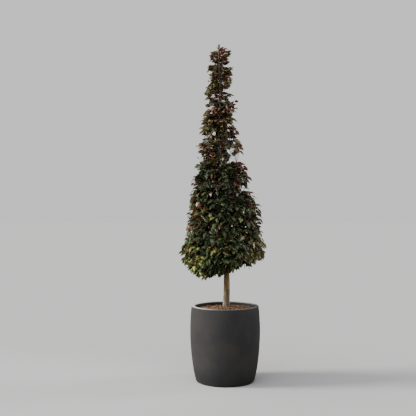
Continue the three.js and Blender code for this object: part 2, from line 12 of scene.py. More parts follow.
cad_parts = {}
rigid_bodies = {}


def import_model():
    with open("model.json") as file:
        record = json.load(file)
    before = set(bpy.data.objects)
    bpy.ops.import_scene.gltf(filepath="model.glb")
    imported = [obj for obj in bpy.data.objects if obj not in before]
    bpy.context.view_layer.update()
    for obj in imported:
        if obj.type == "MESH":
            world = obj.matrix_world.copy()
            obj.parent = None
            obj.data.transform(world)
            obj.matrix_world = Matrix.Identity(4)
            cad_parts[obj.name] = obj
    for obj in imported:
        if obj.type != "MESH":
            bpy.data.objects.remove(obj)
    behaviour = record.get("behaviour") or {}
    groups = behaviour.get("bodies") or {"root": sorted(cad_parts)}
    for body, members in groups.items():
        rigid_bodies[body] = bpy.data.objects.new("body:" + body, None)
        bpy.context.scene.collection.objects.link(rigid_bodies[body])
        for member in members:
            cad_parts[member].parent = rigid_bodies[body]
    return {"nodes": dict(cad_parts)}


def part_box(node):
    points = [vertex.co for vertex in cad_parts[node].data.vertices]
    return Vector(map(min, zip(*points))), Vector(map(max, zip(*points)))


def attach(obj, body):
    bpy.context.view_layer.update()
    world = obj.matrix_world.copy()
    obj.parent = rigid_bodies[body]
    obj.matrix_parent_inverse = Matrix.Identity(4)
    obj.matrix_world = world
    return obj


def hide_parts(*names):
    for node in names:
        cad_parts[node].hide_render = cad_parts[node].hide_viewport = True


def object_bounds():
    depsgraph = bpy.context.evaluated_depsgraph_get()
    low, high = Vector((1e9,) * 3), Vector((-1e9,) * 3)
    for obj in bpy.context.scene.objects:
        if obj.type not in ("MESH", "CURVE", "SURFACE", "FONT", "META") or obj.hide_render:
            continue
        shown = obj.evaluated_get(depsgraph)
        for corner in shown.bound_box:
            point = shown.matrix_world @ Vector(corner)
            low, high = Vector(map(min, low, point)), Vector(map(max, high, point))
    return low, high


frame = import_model()
CAD_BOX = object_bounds()

bl_info = {
    "name": "Potted Columnar Beech",
    "version": (1, 0, 0),
    "blender": (4, 5, 0),
    "location": "3D View > Sidebar > Beech",
    "description": "Planter, bark mulch, bark, twigs and leaves of a potted columnar beech",
    "category": "Add Mesh",
}

BODY = "root"
UP = Vector((0, 0, 1))

# Planter: the same turned shell as its solid
POT_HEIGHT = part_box("planter")[1].z
POT_OUTLINE = [
    # (height, outer radius) from just above the foot to just below the lip
    (0.018, 0.212),
    (0.056, 0.222),
    (0.115, 0.2325),
    (0.175, 0.240),
    (0.240, 0.246),
    (0.345, 0.251),
    (0.430, 0.2495),
    (0.500, 0.245),
]
POT_FOOT_RADIUS = 0.196
POT_RIM_RADIUS = 0.241
POT_WALL = 0.018
POT_LIP = 0.026
POT_LIP_DEPTH = 0.040
POT_LIP_ROUNDING = 0.006
POT_FLOOR = 0.024
# Steps in each span of its wall's curve and in a quarter circle, and rings from the wall up to the lip
POT_WALL_STEPS = 8
CORNER_STEPS = 6
LIP_RINGS = (0.35, 0.7)
# Heights of the rings of its inside wall
INNER_HEIGHTS = [POT_FLOOR, 0.110, 0.345, POT_HEIGHT - POT_LIP_DEPTH]
# Ripples of its outside: slow and quick waves to the metre, and the share of the quick ones
SLOW_RIPPLES = 14
QUICK_RIPPLES = 55
QUICK_RIPPLE_SHARE = 0.4
# There are none below this height, or so near its inside
FLAT_FOOT = 0.003
SMOOTH_RIM = 0.004
# Where the cement is darker or paler: painted shade at the foot, a dusty lip, and on the lip's left
# a painted highlight over the dusty paleness. Each fades in from the first place to the second
SHADED_FOOT = (0.15, 0.0)
BLEACHED_LIP = (POT_HEIGHT - 0.005, POT_HEIGHT)
LIP_DUST_AND_HIGHLIGHT_LEFT = (-0.05, -0.15)
BLEACHED_BACK = (0.0, 0.16)
PORE_COLOUR = (0.018, 0.017, 0.017)

# Filling of the planter
SOIL_TOP = 0.488
SOIL_COLOUR = (0.028, 0.019, 0.013)
SOIL_SHADES = [(0.018, 0.012, 0.009), (0.050, 0.034, 0.023)]
MULCH_TOP = 0.512
MULCH_EDGE_DROP = 0.003
MULCH_MOUND = 0.021
MULCH_MOUND_WIDTH = 0.14
# Roughness of the bed: its height, the lumps and crumbs to the metre, and the share of the crumbs
MULCH_ROUGHNESS = 0.0032
MULCH_LUMPS = 26
MULCH_CRUMBS = 70
MULCH_CRUMB_SHARE = 0.5
MULCH_RINGS = 26
MULCH_SIDES = 96
BLACK_CRUMB = (0.012, 0.008, 0.006)
# Chips: (length, width, thickness) of each shape, and the share of each colour
CHIP_SHAPES = [
    (0.021, 0.010, 0.0040),
    (0.016, 0.011, 0.0045),
    (0.028, 0.009, 0.0035),
    (0.013, 0.009, 0.0050),
]
CHIP_SHARES = dict(red=0.42, dark=0.40, tan=0.18)
CHIP_SCALES = (0.8, 1.45)
CHIP_CORNERS = 7
# Shares of a chip's size: how far its corners reach, how wide its underside and its top are, how high its
# top's edge lies over the middle of its thickness, and how high its crown does
CHIP_RAGGEDNESS = (0.78, 1.12)
CHIP_BASE = 0.9
CHIP_BEVEL = 0.84
CHIP_EDGE_HEIGHTS = (0.55, 1.1)
CHIP_CROWN = 0.7
CHIP_SEED = 40
# Chips pick a shape by a whole number up to this, and the shapes repeat
CHIP_PICKS = 1000
# The ring of the bed that chips lie on: how far it keeps from the trunk's middle and the wall, and its mesh
CHIPS_FROM_TRUNK = 0.036
CHIPS_FROM_WALL = 0.014
CHIP_BED_RINGS = 20
CHIP_BED_SIDES = 72
# A hair's breadth that keeps the bed off the soil and the wall
CLEARANCE = 0.0003

# Trunk: its middle line, and its radius along it
TRUNK_BENDS = [
    (0.006, 0.0, 0.4883),
    (0.012, 0.002, 0.660),
    (0.009, 0.005, 0.820),
    (-0.018, 0.007, 1.220),
    (-0.042, 0.004, 1.640),
    (-0.037, -0.001, 2.070),
    (-0.046, -0.004, 2.352),
]
TRUNK_FOOT = TRUNK_BENDS[0][2]
TRUNK_TOP = TRUNK_BENDS[-1][2]
TRUNK_RADIUS = 0.0205
TRUNK_TIP_RADIUS = 0.0036
TRUNK_TAPER = 0.9
ROOT_FLARE = 0.0085
ROOT_FLARE_HEIGHT = 0.042
ROOT_LOBES = 5
ROOT_LOBE_DEPTH = 0.13
# Steps in each span of its middle line, and flats round it
TRUNK_BEND_STEPS = 40
TRUNK_SIDES = 40
# Rows of the trunk's mesh: their spacing up to this height, and above it
CLEAR_TRUNK_TOP = 0.86
CLEAR_TRUNK_STEP = 0.003
HIGH_TRUNK_STEP = 0.009
# At its foot, a furrow that winds up it and a toe that spreads to the left. Angles are about the trunk
FURROW_DEPTH = 0.0035
FURROW_WIDTH = 0.16
FURROW_ANGLE = 4.15
FURROW_WIND = 6
TOE_SIZE = 0.007
TOE_HEIGHT = 0.03
TOE_ANGLE = 3.5
TOE_WIDTH = 0.5
# Scars of lost twigs on the clear trunk: (height, angle), each a low collar with a pit in its middle
TRUNK_SCARS = [(0.548, 4.9), (0.602, 3.6), (0.641, 5.5), (0.694, 4.4), (0.735, 1.2), (0.668, 2.3)]
SCAR_COLLAR = 0.0034
SCAR_COLLAR_WIDTH = 0.010
SCAR_PIT = 0.0026
SCAR_PIT_WIDTH = 0.0032
# Relief of the bark: bumps to the metre round the limb and along it, and the share of each kind
BARK_RIBS = dict(around=190, along=14, share=0.55)
BARK_LUMPS = dict(around=45, along=22, share=0.9)
BARK_WRINKLES = dict(around=30, along=300, share=0.22)
WRINKLE_SHIFT = 7
# How much plumper than its solid the trunk is, by height
BARK_PLUMPNESS = [(0.70, 0.0028), (0.90, 0.0), (1.80, 0.0), (2.10, 0.0022), (2.34, 0.0022)]
# Where the bark changes: each fades in from the first place to the second, up the trunk or across it
SILVERY_FOOT = (TRUNK_FOOT + 0.17, TRUNK_FOOT + 0.01)
OLD_BARK = (0.665, 0.635)
RING_BELOW = (0.642, 0.648)
RING_ABOVE = (0.660, 0.653)
YOUNG_BARK = (1.35, 1.58)
TIP_BARK = (2.13, 2.22)
# Painted fill light, which makes the bark's right side ochre
PAINTED_FILL_SIDE = (0.002, 0.022)
# A painted shadow of the furrow, down the middle of the trunk's foot
FURROW_SHADOW_LEFT = (0.001, 0.009)
FURROW_SHADOW_RIGHT = (0.030, 0.020)

# Crown: (height, radius) of its outline about the crown's own axis, as the solids have it
CROWN_OUTLINE = [
    (0.742, 0.150),
    (0.790, 0.232),
    (0.850, 0.285),
    (0.930, 0.313),
    (1.080, 0.286),
    (1.240, 0.254),
    (1.370, 0.232),
    (1.513, 0.206),
    (1.657, 0.168),
    (1.822, 0.148),
    (1.952, 0.128),
    (2.060, 0.100),
    (2.232, 0.092),
    (2.340, 0.070),
    (2.412, 0.026),
]
CROWN_AXIS = [(0.900, -0.015), (1.950, -0.040)]
# Lobes and notches of the outline on the left and right: (height, how far it stands out there)
LOBES_LEFT = [
    (0.77, 0.020), (0.85, -0.006), (0.90, 0.006), (0.96, -0.020), (1.24, -0.026), (1.31, 0.000),
    (1.37, -0.014), (1.44, -0.019), (1.506, -0.014), (1.535, -0.030), (1.62, -0.019), (1.707, -0.005),
    (1.775, -0.013), (1.87, -0.013), (1.93, -0.013), (2.00, -0.025), (2.042, 0.017), (2.065, 0.001),
    (2.109, -0.012), (2.173, -0.022), (2.222, -0.014), (2.255, -0.020), (2.30, -0.014), (2.362, 0.004),
    (2.385, -0.022), (2.412, -0.040),
]
LOBES_RIGHT = [
    (0.85, 0.000), (0.90, -0.018), (1.00, 0.000), (1.10, -0.006), (1.24, 0.020), (1.32, 0.000),
    (1.366, -0.020), (1.391, -0.055), (1.42, -0.025), (1.47, 0.004), (1.506, -0.010), (1.54, 0.005),
    (1.56, -0.010), (1.597, -0.050), (1.618, -0.026), (1.65, 0.010), (1.705, 0.002), (1.738, -0.030),
    (1.755, -0.014), (1.788, 0.006), (1.83, 0.016), (1.843, -0.030), (1.87, -0.016), (1.894, -0.034),
    (1.91, -0.014), (1.956, 0.006), (2.00, 0.006), (2.042, -0.006), (2.065, -0.032), (2.109, -0.030),
    (2.173, -0.014), (2.222, -0.006), (2.255, -0.006), (2.30, -0.020), (2.348, 0.005), (2.372, 0.016),
    (2.395, -0.012), (2.412, -0.036),
]
# The front and the back have the same lobes at other heights: the left ones so far up, the right ones down
FRONT_LOBES_UP = 0.085
BACK_LOBES_DOWN = 0.065
SKIRT_FOOT = 0.762
APEX_LIFT = 0.090
TRUNK_GAP = 0.003

# Tiers of the crown from the bottom up, with the rows of twigs in their masses, as the solids have them
TIERS = [
    dict(name="skirt", foot=0.742, slope=0.1, masses=6, turn=0.5, rows=[3, 2], leaf=1.1, core=(0.36, 0.8)),
    dict(name="bell", foot=1.000, slope=0.35, masses=6, turn=0.0, rows=[3, 2], leaf=1.1, core=(0.36, 0.82)),
    dict(name="waist", foot=1.250, slope=0.5, masses=5, turn=0.3, rows=[2, 2], leaf=1.05, core=(0.38, 0.76)),
    dict(name="shoulder", foot=1.475, slope=0.6, masses=4, turn=0.1, rows=[2, 2], leaf=0.9, core=(0.42, 0.7)),
    dict(name="spire", foot=1.690, slope=0.7, masses=3, turn=0.65, rows=[2, 1], leaf=0.8, core=(0.26, 0.6)),
    dict(name="upper_spire", foot=1.900, slope=0.8, masses=3, turn=0.15, rows=[2, 1], leaf=0.68, core=None),
    dict(name="leader", foot=2.110, slope=0.9, masses=3, turn=0.6, rows=[1, 1, 1], leaf=0.58, core=None),
]
LEADER_TOP = 2.375
BOUGH_TIERS = ["skirt", "bell", "waist", "shoulder"]
LOWER_TIERS = ["skirt", "bell", "waist"]
MASS_LIFT = 0.014

# Boughs, stems and twigs, as the solids have them
BOUGH_RADIUS = 0.0085
BOUGH_TIP_RADIUS = 0.006
BOUGH_RISE = 0.6
BOUGH_SAG = 0.005
BOUGH_HEIGHT = 0.5
BOUGH_TO_CORE = 0.006
BOUGH_SIDES = 14
BOUGH_STEPS = 20
# A bough's collar at the trunk, the share of the bough that it takes, and the relief of its bark
BOUGH_COLLAR = 0.003
BOUGH_COLLAR_SHARE = 0.2
BOUGH_RELIEF = 0.6
STEM_RADIUS = 0.0054
STEM_TIP_RADIUS = 0.0030
STEM_LEAD = 0.030
STEM_ROOT_HEIGHT = 0.1
STEM_ROOT_INSIDE = 0.6
STEM_BOW = 0.3
STEM_STEPS = 8
DENSE_STEM = dict(height=0.5, leaf_room=0.7)
OPEN_STEM = dict(height=0.7, leaf_room=0.85)
SOURCE_LEAF_LENGTH = 0.100
TWIG_RADIUS = 0.0028
TWIG_TIP_RADIUS = 0.0018
TWIG_SHORTEST = 0.030
TWIGS_ALONG_STEM = (0.45, 0.92)
TWIG_SPREAD = 0.9
TWIG_SCATTER = (0.08, 0.05)
TWIG_LEAF_ROOM = (0.34, 0.54)
# The twigs' ends lie about a line that is so far from the trunk towards the crown's axis
TWIG_AIM = 0.6
TWIG_ARCH = 0.06
TWIG_STEPS = 6
# Seeds: each mass has its own for its twigs and its shoots, with so many kept for each tier
SEED = 20417
LAYOUT_SEED = SEED + 1
TIP_SEED = SEED + 7
SHADE_SEED = SEED + 9
TWIG_SEED = SEED + 100
SHOOT_SEED = SEED + 5000
TIER_SEEDS = 100
LEAF_SEED = 900

# Finer growth: shoots reach for places spread over each mass, in layers from the outside in
DENSE_LAYERS = [
    dict(reach=1.0, spacing=0.044, inside=False),
    dict(reach=0.80, spacing=0.055, inside=True),
    dict(reach=0.55, spacing=0.075, inside=True),
]
OPEN_LAYERS = [
    dict(reach=1.0, spacing=0.040, inside=False),
    dict(reach=0.60, spacing=0.050, inside=False),
    dict(reach=0.30, spacing=0.070, inside=True),
]
LEADER_LAYERS = [
    dict(reach=1.0, spacing=0.031, inside=False),
    dict(reach=0.60, spacing=0.045, inside=False),
]
UNDERSIDE_SHARES = (0.25, 0.45, 0.65, 0.85)
UNDERSIDE_SPACING = 0.058
# Height of the crown's underside, from left to right
UNDERSIDE = [
    (-0.328, 0.890), (-0.290, 0.845), (-0.256, 0.810), (-0.231, 0.782), (-0.176, 0.752), (-0.105, 0.746),
    (-0.090, 0.768), (-0.066, 0.779), (-0.047, 0.766), (-0.030, 0.784), (0.042, 0.812), (0.068, 0.816),
    (0.082, 0.838), (0.107, 0.850), (0.121, 0.900), (0.134, 0.896), (0.143, 0.836), (0.155, 0.852),
    (0.175, 0.843), (0.200, 0.848), (0.210, 0.866), (0.238, 0.886), (0.275, 0.884),
]
# The underside's shoots spread over the crown's width at so far above its foot
UNDERSIDE_WIDTH_ABOVE = 0.05
# How far above the underside shoots end: those of a tier, and those that hang below it
TIER_SHOOT_LIFT = (0.025, 0.05)
UNDERSIDE_SHOOT_LIFT = (0.030, 0.060)
SHOOT_JITTER = 0.40
# A place so far from the crown's axis finds its reach in that direction
NEAR_AXIS = 0.01
SHOOT_RADIUS = 0.0015
SHOOT_TIP_RADIUS = 0.0007
SHOOT_STEPS = 5
SHOOT_ARCH = [(0.80, 0.16), (2.20, -0.08)]
# Share of a leaf's reach that a shoot keeps from the outline
SHOOT_END_ROOM = (0.75, 1.30)
# A shoot leaves from the nearest twig, and height above the shoot's end counts so much more
HEIGHT_PENALTY = 0.5
# Where along a stem and along a twig shoots leave, as shares of it
STEM_CARRIERS = [step / 10 for step in range(4, 11)]
TWIG_CARRIERS = [step / 6 for step in range(2, 7)]
# Where there are no boughs, shoots leave the trunk too, from so far below the tier
TRUNK_CARRIERS = 10
TRUNK_CARRIERS_BELOW = 0.08
LEAF_SPACING = 0.0135
LEAFY_LENGTH = 0.085
LEAFY_SHARE = 0.9
FEWEST_LEAVES = 3
LEAF_ROW_ANGLE = 0.72
# By height: how far leaves point up or, below nought, down, how far a spray is rolled, and its leaves' size
LEAF_PITCHES = [
    (0.84, -0.82), (0.95, -0.58), (1.10, -0.50), (1.45, -0.36), (1.60, -0.24), (1.80, -0.20), (2.02, -0.16),
    (2.12, -0.22), (2.25, -0.20), (2.32, 0.60),
]
SPRAY_ROLLS = [(1.30, 0.60), (1.65, 1.20)]
LEAF_SIZES = [(0.80, 1.12), (1.45, 1.06), (2.00, 1.04), (2.40, 0.98)]
INSIDE_LEAF_SIZE = 1.15
LEAF_SIZE_RANGE = (0.78, 1.12)
# How much the sprays vary in pitch, and the leaves within one in bearing, pitch and roll
SPRAY_PITCH_SCATTER = [(1.30, 0.42), (1.65, 0.62)]
LEAF_SCATTER = 0.25
SIDE_SHOOT_PLACES = (0.72, 0.45)
SIDE_SHOOT_LENGTH = (0.028, 0.050)
SIDE_SHOOT_LEAVES = 3
SIDE_SHOOT_ARCH = 0.004
SIDE_SHOOT_RADIUS = 0.8 * SHOOT_RADIUS
# A shoot shorter than this has one side shoot
SHORT_SHOOT = 0.06
# How far tips may stand out of the crown's outline, or must stay inside it
OUTLINE_SLACK = (-0.030, 0.022)
OUTLINE_SLACK_SKEW = 2.0
# How far leaf tips may stand past the front and the back of the solids' box
BOX_SLACK = 0.020
# Turns of a leaf's bearing and shares of its size that are tried in this order
LEAF_TRIES = [(0, 1), (0.4, 1), (-0.4, 1), (0, 0.85), (0.8, 0.9), (-0.8, 0.9)]
# Shares of a leaf's length at which it is tested against the gaps and the leader
BLADE_PLACES = (0.3, 0.65, 1)
# How each leaf shape is bent: (rise of its edges, droop of its tip, twist), as shares of its size
LEAF_BENDS = [(0.30, 0.10, 0.0), (0.50, 0.20, 0.25), (0.15, 0.16, -0.2), (0.65, 0.06, 0.1)]
# Outline of a leaf: (share of the way along it, share of its half width there)
LEAF_OUTLINE = [(0.10, 0.24), (0.26, 0.80), (0.44, 1.0), (0.65, 0.78), (0.85, 0.34)]
# Gloss of the leaves, and how much their wax varies the roughness
GREEN_LEAF = dict(roughness=0.52, specular=0.36)
PURPLE_LEAF = dict(roughness=0.37, specular=0.44)
LEAF_WAX = 0.05
# Shares of the twigs' colour in their dark and their pale specks, and flats round a twig
TWIG_SHADES = (0.75, 1.4)
TWIG_SKIN_SIDES = 4
# The leader's end: a twig up to a bud, and a whorl of leaves below it. Pairs are for its foot and its top,
# and ranges and scatters are for its single leaves
BUD_BELOW_TOP = 0.012
BUD_ASIDE = 0.001
TIP_TWIG_START = 0.02
TIP_TWIG_RADII = (0.0058, 0.0056)
BUD_FOOT = 0.012
BUD_POINT = 0.010
BUD_RADII = (0.0095, 0.0055)
WHORL_LEAVES = 18
WHORL_TURN = 2.4
WHORL_FOOT = 2.285
WHORL_RADII = (0.016, 0.003)
WHORL_PITCHES = (0.30, 0.62)
WHORL_PITCH_SCATTER = 0.25
WHORL_ROLL_SCATTER = 0.5
WHORL_SIZES = (1.0, 0.62)
WHORL_SIZE_RANGE = (0.85, 1.1)
WHORL_SLACK = 0.02
# Stretches of the leader that show on its front, and how far to its sides leaves keep off
LEADER_SHOWS = [(1.59, 1.69), (1.735, 1.79), (2.035, 2.09), (2.12, 2.38)]
LEADER_SHOWN_WIDTH = 0.016
LEADER_SHOWN_SHARE = 0.95
# Gaps that the sky shows through, as seen from the front: (across, height, radius) at the trunk's depth
SKY_GAPS = [
    (-0.007, 2.262, 0.008), (-0.021, 2.144, 0.008), (-0.003, 2.087, 0.012), (-0.084, 2.043, 0.016),
    (-0.007, 2.049, 0.012), (0.030, 2.080, 0.012), (-0.103, 1.956, 0.010), (0.028, 2.031, 0.010),
    (-0.098, 1.920, 0.009), (0.067, 1.898, 0.017), (0.074, 1.837, 0.016), (0.033, 1.827, 0.012),
    (0.025, 1.795, 0.008), (-0.080, 1.773, 0.016), (-0.120, 1.750, 0.008), (-0.134, 1.718, 0.009),
    (0.041, 1.729, 0.014), (0.026, 1.704, 0.008), (0.062, 1.700, 0.011), (0.051, 1.660, 0.016),
    (0.012, 1.660, 0.008), (0.033, 1.635, 0.013), (0.060, 1.592, 0.020), (0.095, 1.603, 0.022),
    (0.130, 1.612, 0.020), (-0.106, 1.620, 0.008), (0.031, 1.568, 0.018), (-0.017, 1.589, 0.008),
    (-0.168, 1.592, 0.012), (-0.101, 1.333, 0.009), (0.125, 1.380, 0.018),
]
# Leaves keep off a share of each gap's radius, which makes its edge ragged, and off a margin round that
SKY_GAP_SHARE = (0.55, 1.25)
SKY_GAP_MARGIN = 0.006
# Airy parts of the crown as seen from the front: (across, height, radius, share of the leaves that grow)
AIRY_PARTS = [
    (0.090, 1.810, 0.075, 0.32), (0.060, 1.640, 0.055, 0.30), (0.125, 1.590, 0.040, 0.35),
    (-0.105, 1.985, 0.050, 0.50), (-0.120, 1.745, 0.045, 0.60),
]
# The camera's place, from which the front is seen
VIEW_FROM = Vector((-0.123, -4.96, 1.204))

# Tints of the leaves, as the shares in which each part of the crown deals them out to its sprays. The lime,
# orange and copper on the left are partly painted sunlight through the leaves, and the paler bronze and
# olive greens on the right are partly painted fill light
PALETTES = {
    # Inside and shaded sprays take dark tints: painted shade, besides the green of leaves that grow in shade
    "inside": dict(deep_green=7, dark_purple=3),
    "shaded": dict(deep_green=7, dark_purple=3),
    "high_shaded": dict(dark_purple=7, deep_green=3),
    "low_left": dict(
        lime=4.2, olive_green=3.4, moss_green=2.6, fresh_green=1.2, deep_green=1.6, copper=0.6
    ),
    "low_middle": dict(
        moss_green=5, olive_green=3.2, deep_green=3, olive_bronze=1.8, fresh_green=1, copper=0.6
    ),
    "low_right": dict(bronze_green=7, olive_green=7, moss_green=2, lime=0.4, copper=0.4),
    "body_left": dict(
        moss_green=4, olive_bronze=1.8, fresh_green=0.4, copper=1.3, dark_purple=1.6, deep_green=2.2
    ),
    "body_middle": dict(deep_green=6.8, moss_green=2.8, fresh_green=0.4, olive_bronze=0.6, dark_purple=0.6),
    "body_right": dict(
        dark_purple=3.6, bronze_green=2.8, moss_green=2.4, wine_brown=1.8, olive_green=0.8, copper=0.4
    ),
    "shoulder_left": dict(deep_green=3, moss_green=2.6, dark_purple=2, olive_bronze=1.6, copper=1.2),
    "shoulder_middle": dict(deep_green=8, moss_green=1.2, dark_purple=1.2, olive_bronze=0.5),
    "shoulder_right": dict(dark_purple=3.4, wine_brown=1.8, moss_green=1.6, bronze_green=1.4, deep_green=1.2),
    "spire_left": dict(
        bronze_green=3.4, moss_green=2, dark_purple=2, fresh_green=1, copper=0.8, orange=0.4
    ),
    "spire_middle": dict(bronze_green=4.4, olive_green=1.8, moss_green=1.4, wine_brown=1.2, copper=1.2),
    "spire_right": dict(bronze_green=3.4, wine_brown=3.4, copper=2.2, dark_purple=0.8),
    "upper_spire_left": dict(
        bronze_green=4, olive_bronze=1.6, dark_purple=1.6, olive_green=1.6, copper=0.8, orange=0.3
    ),
    "upper_spire_middle": dict(bronze_green=3, dark_purple=2, wine_brown=1.8, olive_green=0.8, copper=0.6),
    "upper_spire_right": dict(dark_purple=3.6, wine_brown=3.6, copper=0.6),
    "leader_left": dict(
        olive_green=3.4, fresh_green=2.6, bronze_green=2, copper=1, dark_purple=0.4, lime=0.8
    ),
    "leader_middle": dict(bronze_green=5, copper=1.2, wine_brown=0.8, dark_purple=0.6, olive_green=1.6),
    "leader_right": dict(dark_purple=2.4, wine_brown=1.4, olive_bronze=2, bronze_green=1.4, fresh_green=1.4),
    "top": dict(dark_purple=3, wine_brown=2.4, copper=1.8, bronze_green=1.4, olive_bronze=0.6),
}
# Where the parts end: (height, name)
ZONES = [
    (0.96, "low"),
    (1.36, "body"),
    (1.58, "shoulder"),
    (1.86, "spire"),
    (2.08, "upper_spire"),
    (2.26, "leader"),
]
# Heights at which the crown lies in its own shade: (height, share of the sprays that are dark there)
SHADED_SPRAYS = [
    (1.20, 0.0), (1.25, 0.15), (1.34, 0.20), (1.37, 0.60), (1.44, 0.60), (1.47, 0.0), (1.94, 0.0),
    (1.96, 0.75), (2.02, 0.75), (2.04, 0.0), (2.22, 0.0), (2.24, 0.70), (2.29, 0.70), (2.31, 0.0),
]
# Above this height the shaded sprays are more purple than green
PURPLE_SHADE = 1.58
# A part's left and right begin at this share of the crown's reach, and its borders are so ragged
SIDE_SHARE = 0.55
RAGGED_SIDE = 0.28
RAGGED_HEIGHT = 0.06
# Shares of a spray's leaves that take its first tint, and its first or second. The rest take any
TINT_SHARES = (0.58, 0.82)

# Stage: a dim sky with a bright patch at the upper left, a broad sun from the left, and a fill light from the
# right and a little behind
SKY_COLOUR = (0.97, 0.98, 1.0)
SKY_DIM = 0.20
SKY_BRIGHT = 2.00
BRIGHT_PATCH = Vector((-0.56, -0.60, 0.57))
BACKDROP_COLOUR = (0.80, 0.80, 0.80)
SUN_FROM = Vector((-0.95, -0.06, 0.44))
SUN_POWER = 4.4
SUN_WIDTH = 0.30
SUN_COLOUR = (1.0, 0.95, 0.87)
FILL_PLACE = Vector((3.0, 0.8, 2.5))
FILL_TARGET = Vector((0, 0, 1.45))
FILL_POWER = 420.0
FILL_CONE = 0.62
FILL_CONE_BLUR = 0.3
FILL_SIZE = 0.6
FLOOR_RADIUS = 80.0
FLOOR_SIDES = 128
SENSOR_WIDTH = 36.0


# Settings


def colour_setting(name, description, default):
    """A colour that a user can change."""
    return FloatVectorProperty(name=name, description=description, default=default, subtype="COLOR")


def length_setting(name, description, default):
    """A length that a user can change, in metres."""
    return FloatProperty(name=name, description=description, default=default, unit="LENGTH")


class PlanterSettings(bpy.types.PropertyGroup):
    """Sizes and colours of the planter."""

    sides: IntProperty(name="Sides", description="Flats round the turned shell", default=144, min=32)
    ripple: length_setting("Ripple", "Depth of the cast wall's slow ripples", 0.0005)
    cement: colour_setting("Cement", "Main colour of the wall", (0.0262, 0.0255, 0.0275))
    cloud: colour_setting("Cloud", "Colour of its paler patches", (0.040, 0.0385, 0.0350))
    # This colour makes the lip dusty, and on the lip's left it is a painted highlight as well
    dust_and_highlight: colour_setting("Dust", "Colour of the bleached lip", (0.60, 0.58, 0.55))
    # The damp colour is painted shade, darkest at the foot, where the planter stands on the floor
    damp: colour_setting("Damp", "Colour of the damp foot", (0.009, 0.009, 0.010))


class MulchSettings(bpy.types.PropertyGroup):
    """The bark mulch in the planter."""

    density: FloatProperty(name="Density", description="Chips for each square metre, at most", default=11000)
    spacing: length_setting("Spacing", "Least distance between two chips", 0.0068)
    tilt: FloatProperty(name="Tilt", description="Most that a chip leans", default=0.8, subtype="ANGLE")
    seed: IntProperty(name="Seed", description="Seed of the chips' places", default=11)
    red: colour_setting("Red Chips", "Colour of fresh chips", (0.232, 0.106, 0.056))
    tan: colour_setting("Tan Chips", "Colour of chips of inner bark", (0.215, 0.130, 0.080))
    dark: colour_setting("Dark Chips", "Colour of damp chips", (0.055, 0.028, 0.017))


class BarkSettings(bpy.types.PropertyGroup):
    """Bark of the trunk and the boughs."""

    relief: length_setting("Relief", "Depth of the bark's ribs and wrinkles", 0.0011)
    bark: colour_setting("Bark", "Colour of the smooth bark", (0.185, 0.130, 0.047))
    shade: colour_setting("Furrows", "Colour of its furrows", (0.070, 0.048, 0.022))
    young: colour_setting("Young Bark", "Colour of the leader's bark", (0.32, 0.25, 0.19))
    tip: colour_setting("Leader's Tip", "Colour of this year's bark", (0.105, 0.062, 0.038))
    silver: colour_setting("Silver", "Colour of its pale patches", (0.44, 0.41, 0.34))
    old: colour_setting("Old Bark", "Colour of the grey bark at its foot", (0.150, 0.132, 0.098))
    # Ochre is painted fill light on the bark's right side
    ochre: colour_setting("Ochre", "Colour of its dry side", (0.31, 0.215, 0.085))
    twig: colour_setting("Twigs", "Colour of the twigs", (0.085, 0.062, 0.044))


class LeafSettings(bpy.types.PropertyGroup):
    """Sizes of a leaf and the tints of the crown."""

    length: length_setting("Length", "Length of a middling leaf", 0.050)
    width: length_setting("Width", "Its greatest width", 0.026)
    thickness: length_setting("Thickness", "Thickness at the rib", 0.0006)
    wave: length_setting("Wave", "Height of the waves of its edges", 0.0016)
    scale: FloatProperty(name="Scale", description="Size of all leaves", default=1.0)
    deep_green: colour_setting("Deep Green", "Shaded green", (0.020, 0.031, 0.007))
    moss_green: colour_setting("Moss Green", "Greyer green", (0.052, 0.076, 0.021))
    fresh_green: colour_setting("Fresh Green", "Young green", (0.118, 0.170, 0.018))
    # Lime is partly painted sunlight through the leaves
    lime: colour_setting("Lime", "Sunlit yellow green", (0.26, 0.30, 0.055))
    olive_bronze: colour_setting("Olive Bronze", "Green turning brown", (0.088, 0.070, 0.018))
    olive_green: colour_setting("Olive Green", "Paler green", (0.125, 0.135, 0.034))
    bronze_green: colour_setting("Bronze Green", "Paler green turning brown", (0.140, 0.108, 0.052))
    dark_purple: colour_setting("Dark Purple", "Purple brown", (0.064, 0.028, 0.014))
    wine_brown: colour_setting("Wine Brown", "Redder purple", (0.122, 0.031, 0.016))
    copper: colour_setting("Copper", "Young copper leaves", (0.128, 0.047, 0.016))
    # Orange is painted sunlight through copper leaves
    orange: colour_setting("Orange", "Sunlit copper leaves", (0.200, 0.080, 0.028))


class StageSettings(bpy.types.PropertyGroup):
    """Camera, floor and lights."""

    camera_x: length_setting("Camera Side", "Camera's place across", VIEW_FROM.x)
    camera_y: length_setting("Camera Back", "Camera's place along Y", VIEW_FROM.y)
    camera_z: length_setting("Camera Height", "Camera's height", VIEW_FROM.z)
    lens: FloatProperty(name="Lens", description="Focal length on a 36 mm sensor", default=59.7)
    shift: FloatProperty(name="Shift", description="Upward shift of the frame", default=0.012)
    floor: colour_setting("Floor", "Colour of the floor", (0.548, 0.546, 0.550))
    floor_bounce: colour_setting("Floor Bounce", "Light that it gives back", (0.30, 0.29, 0.28))


# Shapes


class RandomStream:
    """A seeded stream of numbers from 0 to 1, the same as the one that the solids were grown with."""

    def __init__(self, seed):
        self.state = seed & 0xFFFFFFFF

    def __call__(self):
        self.state = (self.state + 0x6D2B79F5) & 0xFFFFFFFF
        t = self.state
        t = ((t ^ (t >> 15)) * (t | 1)) & 0xFFFFFFFF
        t ^= (t + (((t ^ (t >> 7)) * (t | 61)) & 0xFFFFFFFF)) & 0xFFFFFFFF
        return ((t ^ (t >> 14)) & 0xFFFFFFFF) / 4294967296

    def between(self, low, high):
        return low + (high - low) * self()


def mix(a, b, t):
    return a + (b - a) * t


